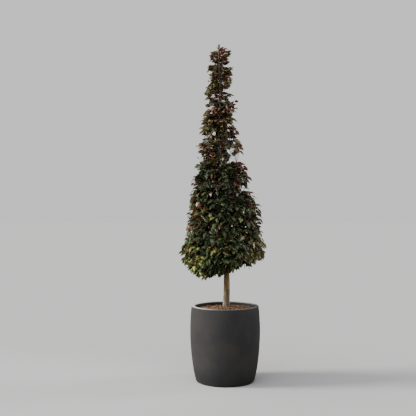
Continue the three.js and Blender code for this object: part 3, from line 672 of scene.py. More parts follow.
def along(pairs, x):
    """The value at x on straight lines between (x, value) pairs, which keeps the end values outside them."""
    if x <= pairs[0][0]:
        return pairs[0][1]
    for (x0, y0), (x1, y1) in zip(pairs, pairs[1:]):
        if x <= x1:
            return mix(y0, y1, (x - x0) / (x1 - x0))
    return pairs[-1][1]


def bell(distance, width):
    """A smooth bump that is 1 at no distance and fades out over about twice its width."""
    return math.exp(-((distance / width) ** 2))


def smooth_curve(points, steps):
    """Points on a centripetal spline through the given points, with so many steps in each span."""
    points = [Vector(p) for p in points]
    ends = [2 * points[0] - points[1], *points, 2 * points[-1] - points[-2]]
    curve = [points[0]]
    for p0, p1, p2, p3 in zip(ends, ends[1:], ends[2:], ends[3:]):
        before, span, after = [math.sqrt((b - a).length) for a, b in ((p0, p1), (p1, p2), (p2, p3))]
        leave = ((p1 - p0) / before - (p2 - p0) / (before + span) + (p2 - p1) / span) * span
        reach = ((p2 - p1) / span - (p3 - p1) / (span + after) + (p3 - p2) / after) * span
        for i in range(1, steps + 1):
            t = i / steps
            rest = (2 * p1 - 2 * p2 + leave + reach) * t + (3 * p2 - 3 * p1 - 2 * leave - reach)
            curve.append(p1 + leave * t + rest * t * t)
    return curve


def bend_through(start, bend, end, steps):
    """Points of a quadratic curve from start to end, drawn towards bend."""
    shares = [i / steps for i in range(steps + 1)]
    return [start * (1 - t) ** 2 + bend * (2 * t * (1 - t)) + end * t * t for t in shares]


def path_point(path, share):
    """The point a share of the way along a path of points, and the path's direction there."""
    lengths = [(b - a).length for a, b in zip(path, path[1:])]
    left = share * sum(lengths)
    for a, b, length in zip(path, path[1:], lengths):
        if left <= length or b is path[-1]:
            return a.lerp(b, min(1.0, left / length)), (b - a).normalized()
        left -= length


def piece(name, vertices, faces, finish, smooth=True):
    """A mesh object in place, with one finish."""
    mesh = bpy.data.meshes.new(name)
    mesh.from_pydata([tuple(v) for v in vertices], [], faces)
    mesh.validate()
    mesh.polygons.foreach_set("use_smooth", [smooth] * len(mesh.polygons))
    made = bpy.data.objects.new(name, mesh)
    bpy.context.scene.collection.objects.link(made)
    if finish:
        mesh.materials.append(finish)
    return made


def dress(made, slot, *nodes):
    """The piece rides on the plant's body and stands for its nodes, which it hides. The slot is not used."""
    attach(made, BODY)
    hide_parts(*nodes)


def lathe(profile, sides, relief=None):
    """Vertices and faces of a profile of (radius, height) turned about Z, from pole to pole."""
    rings = profile[1:-1]
    vertices = [Vector((0, 0, profile[0][1])), Vector((0, 0, profile[-1][1]))]
    faces = []
    for radius, height in rings:
        for k in range(sides):
            angle = 2 * math.pi * k / sides
            corner = Vector((radius * math.cos(angle), radius * math.sin(angle), height))
            vertices.append(corner + relief(corner) if relief else corner)
    for row in range(len(rings)):
        for k in range(sides):
            a = 2 + row * sides + k
            b = 2 + row * sides + (k + 1) % sides
            if row == 0:
                faces.append((0, b, a))
            if row < len(rings) - 1:
                faces.append((a, b, b + sides, a + sides))
            else:
                faces.append((a, b, 1))
    return vertices, faces


def limb(path, radius_at, sides):
    """Vertices and faces of a round limb along a path. Its radius is a function of share, angle and place."""
    across = Vector((1, 0, 0))
    vertices = []
    faces = []
    rows = len(path)
    for i, middle in enumerate(path):
        heading = (path[min(i + 1, rows - 1)] - path[max(i - 1, 0)]).normalized()
        across = (across - heading * across.dot(heading)).normalized()
        upright = heading.cross(across)
        for k in range(sides):
            angle = 2 * math.pi * k / sides
            outward = across * math.cos(angle) + upright * math.sin(angle)
            vertices.append(middle + outward * radius_at(i / (rows - 1), angle, middle))
    for i in range(rows - 1):
        for k in range(sides):
            a, b = i * sides + k, i * sides + (k + 1) % sides
            faces.append((a, b, b + sides, a + sides))
    foot, tip = len(vertices), len(vertices) + 1
    vertices += [path[0].copy(), path[-1].copy()]
    last = (rows - 1) * sides
    for k in range(sides):
        faces.append((foot, (k + 1) % sides, k))
        faces.append((tip, last + k, last + (k + 1) % sides))
    return vertices, faces


# Finishes

# Numbers of the colour sockets of a Mix node
MIX_COLOURS = (6, 7)
MIXED_COLOUR = 2


def add(tree, kind, inputs=None, **settings):
    """A new node. Inputs are values, or outputs of other nodes, by the name or number of their sockets."""
    made = tree.nodes.new(kind)
    for name, value in settings.items():
        setattr(made, name, value)
    for key, value in (inputs or {}).items():
        if isinstance(value, bpy.types.NodeSocket):
            tree.links.new(value, made.inputs[key])
        else:
            made.inputs[key].default_value = value
    return made


def blank_finish(name, colour, roughness, specular=0.5, sheen=0.0):
    """A material with one shader, and the shader's node."""
    material = bpy.data.materials.new(name)
    material.use_nodes = True
    shader = material.node_tree.nodes["Principled BSDF"]
    shader.inputs["Base Color"].default_value = (*colour, 1)
    shader.inputs["Roughness"].default_value = roughness
    shader.inputs["Specular IOR Level"].default_value = specular
    shader.inputs["Sheen Weight"].default_value = sheen
    material.diffuse_color = (*colour, 1)
    return material, shader


def object_noise(tree, scale, stretch=(1, 1, 1), detail=4.0, roughness=0.55):
    """A noise pattern that is fixed to the object, stretched along its axes."""
    coordinates = add(tree, "ShaderNodeTexCoord").outputs["Object"]
    placed = add(tree, "ShaderNodeMapping", {"Vector": coordinates, "Scale": stretch}).outputs["Vector"]
    inputs = {"Vector": placed, "Scale": scale, "Detail": detail, "Roughness": roughness}
    return add(tree, "ShaderNodeTexNoise", inputs).outputs["Fac"]


def object_place(tree):
    """How far across, back and up a place on the object is."""
    coordinates = add(tree, "ShaderNodeTexCoord").outputs["Object"]
    return add(tree, "ShaderNodeSeparateXYZ", {"Vector": coordinates}).outputs


def spread(tree, value, span, to=(0.0, 1.0)):
    """A value's span brought to another one, and kept within it."""
    inputs = {"Value": value, "From Min": span[0], "From Max": span[1], "To Min": to[0], "To Max": to[1]}
    return add(tree, "ShaderNodeMapRange", inputs).outputs["Result"]


def times(tree, a, b):
    return add(tree, "ShaderNodeMath", {0: a, 1: b}, operation="MULTIPLY").outputs[0]


def band(tree, value, rise, fall):
    """A share that fades in over one span of a value and out again over another."""
    return times(tree, spread(tree, value, rise), spread(tree, value, fall))


def blend(tree, share, colour_a, colour_b):
    """A colour between two, each a plain colour or an output."""
    made = add(tree, "ShaderNodeMix", {"Factor": share}, data_type="RGBA")
    for socket, colour in zip(MIX_COLOURS, (colour_a, colour_b)):
        if isinstance(colour, bpy.types.NodeSocket):
            tree.links.new(colour, made.inputs[socket])
        else:
            made.inputs[socket].default_value = (*colour, 1)
    return made.outputs[MIXED_COLOUR]


def paint_over(tree, colour, layers):
    """A colour with layers of (share, colour) over it, the last one on top."""
    for share, paint in layers:
        colour = blend(tree, share, colour, paint)
    return colour


def bump(tree, shader, height, depth, strength=1.0):
    """A small relief on the shader's normal."""
    inputs = {"Height": height, "Distance": depth, "Strength": strength}
    made = add(tree, "ShaderNodeBump", inputs)
    tree.links.new(made.outputs["Normal"], shader.inputs["Normal"])


def fibre_cement(settings):
    """Matt charcoal cement: cloudy, faintly brushed, with pores and a dusty lip, a painted highlight on the
    lip's left and painted shade at the foot.
    """
    material, shader = blank_finish("fibre_cement", settings.cement, 0.82, specular=0.22, sheen=0.03)
    tree = material.node_tree
    clouds = object_noise(tree, scale=7.5, stretch=(1, 1, 0.8), detail=6.0, roughness=0.6)
    wiped = object_noise(tree, scale=16.0, stretch=(1, 1, 3.2), detail=5.0, roughness=0.6)
    pores = object_noise(tree, scale=420.0, detail=2.0)
    across, back, height = object_place(tree)
    lip = times(tree, spread(tree, height, BLEACHED_LIP), spread(tree, clouds, (0.3, 0.6), to=(0.7, 1.0)))
    layers = [
        (spread(tree, wiped, (0.52, 0.78), to=(0.0, 0.35)), settings.cloud),
        # Painted shade towards the foot
        (spread(tree, height, SHADED_FOOT, to=(0.0, 0.6)), settings.damp),
        # A dusty lip, palest on its left, where the paleness is a painted highlight
        (times(tree, lip, spread(tree, across, LIP_DUST_AND_HIGHLIGHT_LEFT, to=(0.12, 1.0))), settings.dust_and_highlight),
        (times(tree, lip, spread(tree, back, BLEACHED_BACK, to=(0.0, 0.6))), settings.dust_and_highlight),
        (spread(tree, pores, (0.60, 0.74), to=(0.0, 0.5)), PORE_COLOUR),
    ]
    colour = blend(tree, spread(tree, clouds, (0.40, 0.66)), settings.cement, settings.cloud)
    tree.links.new(paint_over(tree, colour, layers), shader.inputs["Base Color"])
    tree.links.new(spread(tree, clouds, (0.35, 0.70), to=(0.74, 0.90)), shader.inputs["Roughness"])
    bump(tree, shader, pores, depth=0.0006, strength=0.45)
    return material


def beech_bark(settings):
    """Tan bark with upright ribs and dark streaks. Its right side is ochre, a painted fill light, and below a
    ring it is grey and silvery, with a painted shadow of the furrow down the middle of its foot. It is pale
    on the leader and dark at the leader's tip."""
    material, shader = blank_finish("beech_bark", settings.bark, 0.78, specular=0.3)
    tree = material.node_tree
    ribs = object_noise(tree, scale=230.0, stretch=(1, 1, 0.07), detail=5.0, roughness=0.6)
    streaks = object_noise(tree, scale=95.0, stretch=(1, 1, 0.06), detail=3.0, roughness=0.5)
    wrinkles = object_noise(tree, scale=150.0, stretch=(0.5, 0.5, 3.5), detail=3.0)
    patches = object_noise(tree, scale=26.0, stretch=(1, 1, 0.55), detail=5.0, roughness=0.62)
    across, _, height = object_place(tree)

    def from_furrow_to_rib(*shares):
        return spread(tree, ribs, (0.35, 0.60), to=shares)

    painted_light = spread(tree, across, PAINTED_FILL_SIDE)
    aged = spread(tree, height, OLD_BARK)
    ring = band(tree, height, RING_BELOW, RING_ABOVE)
    furrow_shadow = band(tree, across, FURROW_SHADOW_LEFT, FURROW_SHADOW_RIGHT)
    near_foot = spread(tree, height, SILVERY_FOOT, to=(0.20, 1.0))
    layers = [
        (spread(tree, wrinkles, (0.60, 0.75), to=(0.0, 0.45)), settings.shade),
        # Painted fill light: ochre on the right side
        (times(tree, painted_light, from_furrow_to_rib(0.45, 0.85)), settings.ochre),
        (spread(tree, streaks, (0.50, 0.60), to=(0.0, 0.6)), settings.shade),
        (times(tree, aged, from_furrow_to_rib(0.45, 0.75)), settings.old),
        (times(tree, ring, spread(tree, wrinkles, (0.40, 0.55), to=(0.25, 0.75))), settings.shade),
        # Painted shadow of the furrow on the grey bark of the foot
        (times(tree, times(tree, furrow_shadow, aged), from_furrow_to_rib(0.75, 0.45)), settings.shade),
        (times(tree, spread(tree, patches, (0.50, 0.64)), near_foot), settings.silver),
        (spread(tree, height, YOUNG_BARK, to=(0.0, 0.85)), settings.young),
        (spread(tree, height, TIP_BARK, to=(0.0, 0.9)), settings.tip),
    ]
    colour = blend(tree, spread(tree, ribs, (0.36, 0.60)), settings.shade, settings.bark)
    tree.links.new(paint_over(tree, colour, layers), shader.inputs["Base Color"])
    tree.links.new(spread(tree, ribs, (0.3, 0.7), to=(0.88, 0.66)), shader.inputs["Roughness"])
    bump(tree, shader, ribs, depth=0.0012, strength=0.6)
    return material


def grainy_finish(name, plain, shades, roughness, scale, detail, edges, depth, strength=1.0):
    """A finish of dark and pale grains with a relief. The edges are where one shade turns into the other."""
    material, shader = blank_finish(name, plain, roughness)
    tree = material.node_tree
    grains = object_noise(tree, scale=scale, detail=detail)
    tree.links.new(blend(tree, spread(tree, grains, edges), *shades), shader.inputs["Base Color"])
    bump(tree, shader, grains, depth, strength)
    return material


def damp_soil():
    """Dark damp potting soil."""
    crumbs = dict(roughness=0.95, scale=240.0, detail=5.0, edges=(0.35, 0.70), depth=0.004)
    return grainy_finish("potting_soil", SOIL_COLOUR, SOIL_SHADES, **crumbs)


def fine_bark(settings):
    """The dark, crumbled bark under the chips."""
    crumbs = dict(roughness=0.95, scale=160.0, detail=6.0, edges=(0.42, 0.66), depth=0.004)
    return grainy_finish("fine_bark", settings.dark, [BLACK_CRUMB, settings.dark], **crumbs)


def twig_finish(settings):
    """Smooth dark bark with paler specks."""
    shades = [tuple(share * part for part in settings.twig) for share in TWIG_SHADES]
    specks = dict(roughness=0.7, scale=320.0, detail=2.0, edges=(0.38, 0.66), depth=0.0003, strength=0.4)
    return grainy_finish("young_bark", settings.twig, shades, **specks)


def chip_finish(name, colour):
    """Rough bark of one plain colour, with a fibrous grain."""
    material, shader = blank_finish(name, colour, 0.86, specular=0.25)
    tree = material.node_tree
    fibres = object_noise(tree, scale=700.0, stretch=(1, 1, 0.5), detail=3.0)
    bump(tree, shader, fibres, depth=0.0008, strength=0.6)
    return material


def leaf_finish(name, colour):
    """A satin leaf of one plain tint, unevenly waxed and puckered. Green ones are the softer."""
    gloss = GREEN_LEAF if colour[1] > colour[0] else PURPLE_LEAF
    material, shader = blank_finish(name, colour, **gloss)
    tree = material.node_tree
    wax = object_noise(tree, scale=70.0, detail=2.0)
    waxed = (gloss["roughness"] - LEAF_WAX, gloss["roughness"] + LEAF_WAX)
    tree.links.new(spread(tree, wax, (0.35, 0.65), to=waxed), shader.inputs["Roughness"])
    puckers = object_noise(tree, scale=260.0, detail=1.0)
    bump(tree, shader, puckers, depth=0.0003, strength=0.2)
    return material


# Geometry Nodes trees

TREE_INPUTS = {
    float: "NodeSocketFloat",
    int: "NodeSocketInt",
    bpy.types.Material: "NodeSocketMaterial",
    bpy.types.Collection: "NodeSocketCollection",
}


def new_tree(name, **named_inputs):
    """A Geometry Nodes tree that takes a geometry and the named inputs, and gives a geometry."""
    tree = bpy.data.node_groups.new(name, "GeometryNodeTree")
    tree.interface.new_socket("Geometry", in_out="INPUT", socket_type="NodeSocketGeometry")
    for label, kind in named_inputs.items():
        tree.interface.new_socket(label.replace("_", " "), in_out="INPUT", socket_type=TREE_INPUTS[kind])
    tree.interface.new_socket("Geometry", in_out="OUTPUT", socket_type="NodeSocketGeometry")
    return tree, tree.nodes.new("NodeGroupInput").outputs


def end_tree(tree, geometry, material):
    """Real meshes with one material leave the tree."""
    real = add(tree, "GeometryNodeRealizeInstances", {"Geometry": geometry}).outputs["Geometry"]
    done = add(tree, "GeometryNodeSetMaterial", {"Geometry": real, "Material": material}).outputs["Geometry"]
    add(tree, "NodeGroupOutput", {"Geometry": done})
    return tree


def attribute(tree, name, kind):
    return add(tree, "GeometryNodeInputNamedAttribute", {"Name": name}, data_type=kind).outputs["Attribute"]


def twig_tree():
    """Skins a net of edges as round twigs, as thick as the points say."""
    tree, given = new_tree("Twigs", Sides=int, Material=bpy.types.Material)
    lines = add(tree, "GeometryNodeMeshToCurve", {"Mesh": given["Geometry"]}).outputs["Curve"]
    ring = add(tree, "GeometryNodeCurvePrimitiveCircle", {"Resolution": given["Sides"], "Radius": 1.0})
    thick = attribute(tree, "thickness", "FLOAT")
    skin = {"Curve": lines, "Profile Curve": ring.outputs["Curve"], "Scale": thick, "Fill Caps": True}
    skinned = add(tree, "GeometryNodeCurveToMesh", skin).outputs["Mesh"]
    return end_tree(tree, skinned, given["Material"])


def leaf_tree():
    """Puts a leaf on each point, laid along and faced as the point says."""
    tree, given = new_tree("Leaves", Leaves=bpy.types.Collection, Scale=float, Material=bpy.types.Material)
    shapes = {"Collection": given["Leaves"], "Separate Children": True, "Reset Children": True}
    leaves = add(tree, "GeometryNodeCollectionInfo", shapes).outputs["Instances"]
    axes = {0: attribute(tree, "along", "FLOAT_VECTOR"), 1: attribute(tree, "facing", "FLOAT_VECTOR")}
    turned = add(tree, "FunctionNodeAxesToRotation", axes, primary_axis="Y", secondary_axis="Z")
    size = {0: attribute(tree, "size", "FLOAT"), 1: given["Scale"]}
    placed = {
        "Points": given["Geometry"],
        "Instance": leaves,
        "Pick Instance": True,
        "Instance Index": attribute(tree, "shape", "INT"),
        "Rotation": turned.outputs["Rotation"],
        "Scale": add(tree, "ShaderNodeMath", size, operation="MULTIPLY").outputs[0],
    }
    instances = add(tree, "GeometryNodeInstanceOnPoints", placed).outputs["Instances"]
    return end_tree(tree, instances, given["Material"])


def chip_tree():
    """Scatters chips over a surface, each turned and tilted at random."""
    tree, given = new_tree(
        "Bark Chips",
        Chips=bpy.types.Collection,
        Density=float,
        Spacing=float,
        Tilt=float,
        Smallest=float,
        Largest=float,
        Seed=int,
        Material=bpy.types.Material,
    )
    scatter = {
        "Mesh": given["Geometry"],
        "Distance Min": given["Spacing"],
        "Density Max": given["Density"],
        "Seed": given["Seed"],
    }
    points = add(tree, "GeometryNodeDistributePointsOnFaces", scatter, distribute_method="POISSON")
    shapes = {"Collection": given["Chips"], "Separate Children": True, "Reset Children": True}
    back = add(tree, "ShaderNodeMath", {0: given["Tilt"], 1: -1.0}, operation="MULTIPLY").outputs[0]
    least = add(tree, "ShaderNodeCombineXYZ", {"X": back, "Y": back, "Z": 0.0}).outputs[0]
    most = {"X": given["Tilt"], "Y": given["Tilt"], "Z": 2 * math.pi}
    most = add(tree, "ShaderNodeCombineXYZ", most).outputs[0]
    # A Random Value node has three pairs of limits: sockets 0 and 1 for vectors, 2 and 3 for sizes, 4 and 5
    # for whole numbers
    turn = {0: least, 1: most, "Seed": given["Seed"]}
    turn = add(tree, "FunctionNodeRandomValue", turn, data_type="FLOAT_VECTOR").outputs[0]
    size = {2: given["Smallest"], 3: given["Largest"], "Seed": given["Seed"]}
    pick = {4: 0, 5: CHIP_PICKS, "Seed": given["Seed"]}
    placed = {
        "Points": points.outputs["Points"],
        "Instance": add(tree, "GeometryNodeCollectionInfo", shapes).outputs["Instances"],
        "Pick Instance": True,
        "Instance Index": add(tree, "FunctionNodeRandomValue", pick, data_type="INT").outputs[2],
        "Rotation": add(tree, "FunctionNodeEulerToRotation", {"Euler": turn}).outputs["Rotation"],
        "Scale": add(tree, "FunctionNodeRandomValue", size, data_type="FLOAT").outputs[1],
    }
    instances = add(tree, "GeometryNodeInstanceOnPoints", placed).outputs["Instances"]
    return end_tree(tree, instances, given["Material"])


def grow(name, mesh, tree, smooth=True, **values):
    """A plain mesh piece that a tree makes from a mesh. Values are the tree's named inputs."""
    made = bpy.data.objects.new(name, mesh)
    bpy.context.scene.collection.objects.link(made)
    modifier = made.modifiers.new("Growth", "NODES")
    modifier.node_group = tree
    sockets = [item for item in tree.interface.items_tree if item.in_out == "INPUT"]
    identifiers = {item.name: item.identifier for item in sockets}
    for label, value in values.items():
        modifier[identifiers[label.replace("_", " ")]] = value
    graph = bpy.context.evaluated_depsgraph_get()
    grown = bpy.data.meshes.new_from_object(made.evaluated_get(graph), depsgraph=graph)
    made.modifiers.remove(modifier)
    made.data = grown
    grown.name = name
    grown.polygons.foreach_set("use_smooth", [smooth] * len(grown.polygons))
    bpy.data.meshes.remove(mesh)
    if not grown.polygons:
        raise RuntimeError(f"{name} came out empty")
    return made


def collection_of(name, objects):
    """A collection for a tree to pick from, kept out of the scene."""
    kept = bpy.data.collections.new(name)
    for made in objects:
        bpy.context.scene.collection.objects.unlink(made)
        kept.objects.link(made)
    return kept


def drop_collection(kept):
    for made in list(kept.objects):
        bpy.data.objects.remove(made)
    bpy.data.collections.remove(kept)


# Planter and mulch

# The planter's wall as (radius, height), and the other way round
POT_WALL_CURVE = [(p.x, p.z) for p in smooth_curve([(r, 0, z) for z, r in POT_OUTLINE], POT_WALL_STEPS)]
POT_WALL_RADII = [(height, radius) for radius, height in POT_WALL_CURVE]


def pot_inner_radius(z):
    """Radius of the planter's inside at a height: the wall is thicker towards the lip."""
    depth = min(1.0, max(0.0, (POT_HEIGHT - z) / POT_LIP_DEPTH))
    shoulder_height, shoulder_radius = POT_OUTLINE[-1]
    if z > shoulder_height:
        outer = mix(POT_RIM_RADIUS, shoulder_radius, depth)
    else:
        outer = along(POT_WALL_RADII, z)
    return outer - mix(POT_LIP, POT_WALL, depth)


def rounded_corner(radius, height, rounding, start, end):
    """A quarter circle of a profile about a middle, as (radius, height)."""
    angles = [mix(start, end, i / CORNER_STEPS) for i in range(CORNER_STEPS + 1)]
    return [(radius + rounding * math.cos(a), height + rounding * math.sin(a)) for a in angles]


def planter_profile():
    """The planter's section from the middle of its underside, round the lip, to the middle of its floor."""
    foot_z, foot_radius = POT_OUTLINE[0]
    shoulder_height, shoulder_radius = POT_OUTLINE[-1]
    turns = [i / CORNER_STEPS * math.pi / 2 for i in range(1, CORNER_STEPS)]
    foot = [
        (mix(POT_FOOT_RADIUS, foot_radius, math.sin(t)), foot_z * (1 - math.cos(t))) for t in turns
    ]
    lip_height = POT_HEIGHT - POT_LIP_ROUNDING
    outer_radius = POT_RIM_RADIUS - POT_LIP_ROUNDING
    inner_radius = POT_RIM_RADIUS - POT_LIP + POT_LIP_ROUNDING
    outer = rounded_corner(outer_radius, lip_height, POT_LIP_ROUNDING, 0, math.pi / 2)
    inner = rounded_corner(inner_radius, lip_height, POT_LIP_ROUNDING, math.pi / 2, math.pi)
    wall = [
        (mix(shoulder_radius, POT_RIM_RADIUS, t), mix(shoulder_height, lip_height, t)) for t in LIP_RINGS
    ]
    inside = [(pot_inner_radius(z), z) for z in reversed(INNER_HEIGHTS)]
    underside = [(0, 0), (POT_FOOT_RADIUS / 2, 0), (POT_FOOT_RADIUS, 0)]
    return [*underside, *foot, *POT_WALL_CURVE, *wall, *outer, *inner, *inside, (0, POT_FLOOR)]


def build_planter(settings):
    """The planter, with the slow ripples of a cast wall on its outside."""

    def ripples(corner):
        if corner.z < FLAT_FOOT or corner.xy.length < pot_inner_radius(corner.z) + SMOOTH_RIM:
            return Vector((0, 0, 0))
        quick = QUICK_RIPPLE_SHARE * noise.noise(corner * QUICK_RIPPLES)
        wave = noise.noise(corner * SLOW_RIPPLES) + quick
        return Vector((corner.x, corner.y, 0)).normalized() * (wave * settings.ripple)

    vertices, faces = lathe(planter_profile(), settings.sides, ripples)
    made = piece("cement_planter", vertices, faces, fibre_cement(settings))
    dress(made, "fibre_cement", "planter")


def mulch_height(x, y):
    """Height of the bark layer: a low mound with a rough surface."""
    mound = MULCH_MOUND * bell(math.hypot(x - TRUNK_BENDS[0][0], y), MULCH_MOUND_WIDTH)
    crumbs = MULCH_CRUMB_SHARE * noise.noise(Vector((x, y, 1)) * MULCH_CRUMBS)
    rough = noise.noise(Vector((x, y, 0)) * MULCH_LUMPS) + crumbs
    return MULCH_TOP - MULCH_EDGE_DROP + mound + MULCH_ROUGHNESS * rough


def mulch_ring(inner, outer, rings, sides):
    """The mulch's surface between two radii, as a bare mesh."""
    vertices, faces = [], []
    for i in range(rings + 1):
        for k in range(sides):
            angle = 2 * math.pi * k / sides
            radius = mix(inner, outer, i / rings)
            x, y = TRUNK_BENDS[0][0] + radius * math.cos(angle), radius * math.sin(angle)
            vertices.append((x, y, mulch_height(x, y)))
            if i < rings:
                a, b = i * sides + k, i * sides + (k + 1) % sides
                faces.append((a, a + sides, b + sides, b))
    surface = bpy.data.meshes.new("mulch_surface")
    surface.from_pydata(vertices, [], faces)
    return surface


def chip_shape(number):
    """An uneven sliver of bark: a slab with ragged ends and a skewed top."""
    length, width, thickness = CHIP_SHAPES[number]
    half = thickness / 2
    random = RandomStream(CHIP_SEED + number)
    corners = CHIP_CORNERS
    outline = []
    for k in range(corners):
        angle = 2 * math.pi * k / corners
        reach = random.between(*CHIP_RAGGEDNESS) / 2
        outline.append((math.cos(angle) * length * reach, math.sin(angle) * width * reach))
    low = [(x * CHIP_BASE, y * CHIP_BASE, -half) for x, y in outline]
    high = [(x * CHIP_BEVEL, y * CHIP_BEVEL, half * random.between(*CHIP_EDGE_HEIGHTS)) for x, y in outline]
    crown = (0, 0, thickness * CHIP_CROWN)
    faces = [tuple(reversed(range(corners)))]
    for k in range(corners):
        n = (k + 1) % corners
        faces.append((k, n, corners + n, corners + k))
        faces.append((corners + k, corners + n, 2 * corners))
    return piece(f"chip_shape_{number}", [*low, *high, crown], faces, None, smooth=False)


def build_mulch(settings):
    """A bed of fine bark over the whole planter, and chips of three colours lying on it."""
    edge = pot_inner_radius(MULCH_TOP) - 2 * CLEARANCE
    bottom = SOIL_TOP + CLEARANCE
    top = [(edge * (1 - i / MULCH_RINGS), MULCH_TOP) for i in range(MULCH_RINGS + 1)]

    def surface(corner):
        rise = mulch_height(corner.x, corner.y) - corner.z if corner.z > bottom else 0
        return Vector((0, 0, rise))

    vertices, faces = lathe([(0, bottom), (edge, bottom), *top], MULCH_SIDES, surface)
    dress(piece("fine_bark_bed", vertices, faces, fine_bark(settings)), "bark_chips", "bark_mulch")

    chips = collection_of("chip_shapes", [chip_shape(number) for number in range(len(CHIP_SHAPES))])
    tree = chip_tree()
    for i, (tint, share) in enumerate(CHIP_SHARES.items()):
        made = grow(
            f"{tint}_bark_chips",
            mulch_ring(CHIPS_FROM_TRUNK, edge - CHIPS_FROM_WALL, CHIP_BED_RINGS, CHIP_BED_SIDES),
            tree,
            smooth=False,
            Chips=chips,
            Density=settings.density * share,
            Spacing=settings.spacing,
            Tilt=settings.tilt,
            Smallest=CHIP_SCALES[0],
            Largest=CHIP_SCALES[1],
            Seed=settings.seed + i,
            Material=chip_finish(f"{tint}_bark", getattr(settings, tint)),
        )
        dress(made, "bark_chips", "bark_mulch")
    drop_collection(chips)


# Trunk and boughs

TRUNK_PATH = smooth_curve(TRUNK_BENDS, TRUNK_BEND_STEPS)
TRUNK_HEIGHTS = [p.z for p in TRUNK_PATH]
TRUNK_X = [p.x for p in TRUNK_PATH]
TRUNK_Y = [p.y for p in TRUNK_PATH]


def trunk_at(z):
    """The trunk's middle at a height."""
    z = min(max(z, TRUNK_FOOT), TRUNK_TOP)
    x = float(np.interp(z, TRUNK_HEIGHTS, TRUNK_X))
    return Vector((x, float(np.interp(z, TRUNK_HEIGHTS, TRUNK_Y)), z))


def trunk_radius(z):
    share = min(1.0, max(0.0, (z - TRUNK_FOOT) / (TRUNK_TOP - TRUNK_FOOT)))
    flare = ROOT_FLARE * math.exp(-(z - TRUNK_FOOT) / ROOT_FLARE_HEIGHT)
    return TRUNK_TIP_RADIUS + (TRUNK_RADIUS - TRUNK_TIP_RADIUS) * (1 - share) ** TRUNK_TAPER + flare


def bark_relief(angle, middle, radius):
    """How far bark stands out, from -1 to 1: upright ribs, low lumps and fine wrinkles across."""
    around = Vector((math.cos(angle), math.sin(angle), 0)) * radius
    rib_place = Vector((0, 0, middle.z * BARK_RIBS["along"]))
    wrinkle_place = Vector((WRINKLE_SHIFT, 0, middle.z * BARK_WRINKLES["along"]))
    ribs = noise.noise(around * BARK_RIBS["around"] + rib_place)
    lumps = noise.noise(around * BARK_LUMPS["around"] + middle * BARK_LUMPS["along"])
    wrinkles = noise.noise(around * BARK_WRINKLES["around"] + wrinkle_place)
    return BARK_RIBS["share"] * ribs + BARK_LUMPS["share"] * lumps + BARK_WRINKLES["share"] * wrinkles


def turn_between(angle, other):
    return math.remainder(angle - other, 2 * math.pi)


def build_trunk(settings, finish):
    """The trunk: flared and lobed at its foot, with scars of lost twigs on its clear length."""

    def radius_at(share, angle, middle):
        plain = trunk_radius(middle.z)
        above = middle.z - TRUNK_FOOT
        near_foot = math.exp(-above / ROOT_FLARE_HEIGHT)
        lobes = 1 + ROOT_LOBE_DEPTH * near_foot * math.cos(ROOT_LOBES * angle)
        relief = settings.relief * bark_relief(angle, middle, plain) * plain / TRUNK_RADIUS
        furrow = FURROW_DEPTH * near_foot * bell(angle - FURROW_ANGLE - FURROW_WIND * above, FURROW_WIDTH)
        toe = TOE_SIZE * math.exp(-above / TOE_HEIGHT) * bell(turn_between(angle, TOE_ANGLE), TOE_WIDTH)
        for height, scar_angle in TRUNK_SCARS:
            off = math.hypot(middle.z - height, plain * turn_between(angle, scar_angle))
            relief += SCAR_COLLAR * bell(off, SCAR_COLLAR_WIDTH) - SCAR_PIT * bell(off, SCAR_PIT_WIDTH)
        return plain * lobes + relief - furrow + along(BARK_PLUMPNESS, middle.z) + toe

    clear = np.arange(TRUNK_FOOT, CLEAR_TRUNK_TOP, CLEAR_TRUNK_STEP)
    high = np.arange(CLEAR_TRUNK_TOP, TRUNK_TOP, HIGH_TRUNK_STEP)
    vertices, faces = limb([trunk_at(z) for z in (*clear, *high, TRUNK_TOP)], radius_at, TRUNK_SIDES)
    for vertex in vertices:
        vertex.z = max(vertex.z, TRUNK_FOOT)
    dress(piece("trunk_bark", vertices, faces, finish), "beech_bark", "trunk")


def build_boughs(settings, finish):
    """The boughs, each with a collar where it leaves the trunk."""

    def radius_at(share, angle, middle):
        collar = BOUGH_COLLAR * bell(share, BOUGH_COLLAR_SHARE)
        relief = BOUGH_RELIEF * settings.relief * bark_relief(angle, middle, BOUGH_RADIUS)
        return mix(BOUGH_RADIUS, BOUGH_TIP_RADIUS, share) + collar + relief

    vertices, faces, nodes = [], [], []
    for mass in MASSES:
        if has_bough(mass["tier"]):
            more_vertices, more_faces = limb(bough_path(mass), radius_at, BOUGH_SIDES)
            faces += [tuple(v + len(vertices) for v in face) for face in more_faces]
            vertices += more_vertices
            nodes.append(f"{mass['tier']['name']}_bough_{mass['number']}")
    dress(piece("bough_bark", vertices, faces, finish), "beech_bark", *nodes)


# Crown: masses, boughs, stems and twigs, by the rule that the solids follow


def crown_axis_x(z):
    return along(CROWN_AXIS, z)


def crown_radius(z):
    return along(CROWN_OUTLINE, z)


def crown_reach(p):
    """How far the crown reaches from its axis at a place's height and on the place's side of it."""
    across, away = p.x - crown_axis_x(p.z), p.y
    distance = math.hypot(across, away) or 1.0
    side = along(LOBES_RIGHT if across > 0 else LOBES_LEFT, p.z)
    front = along(LOBES_LEFT, p.z - FRONT_LOBES_UP)
    depth = front if away < 0 else along(LOBES_RIGHT, p.z + BACK_LOBES_DOWN)
    return crown_radius(p.z) + side * (across / distance) ** 2 + depth * (away / distance) ** 2


def crown_out(p):
    """The level direction from the crown's axis to a place, and the share of the crown's reach there."""
    out = Vector((p.x - crown_axis_x(p.z), p.y, 0))
    return out.normalized(), out.length / crown_reach(p)


def has_bough(tier):
    return tier["name"] in BOUGH_TIERS


def foot_height(tier, out):
    """Height of a tier's lower limit at a distance out from its apex."""
    return tier["foot"] + tier["slope"] * (out - crown_radius(tier["foot"]))


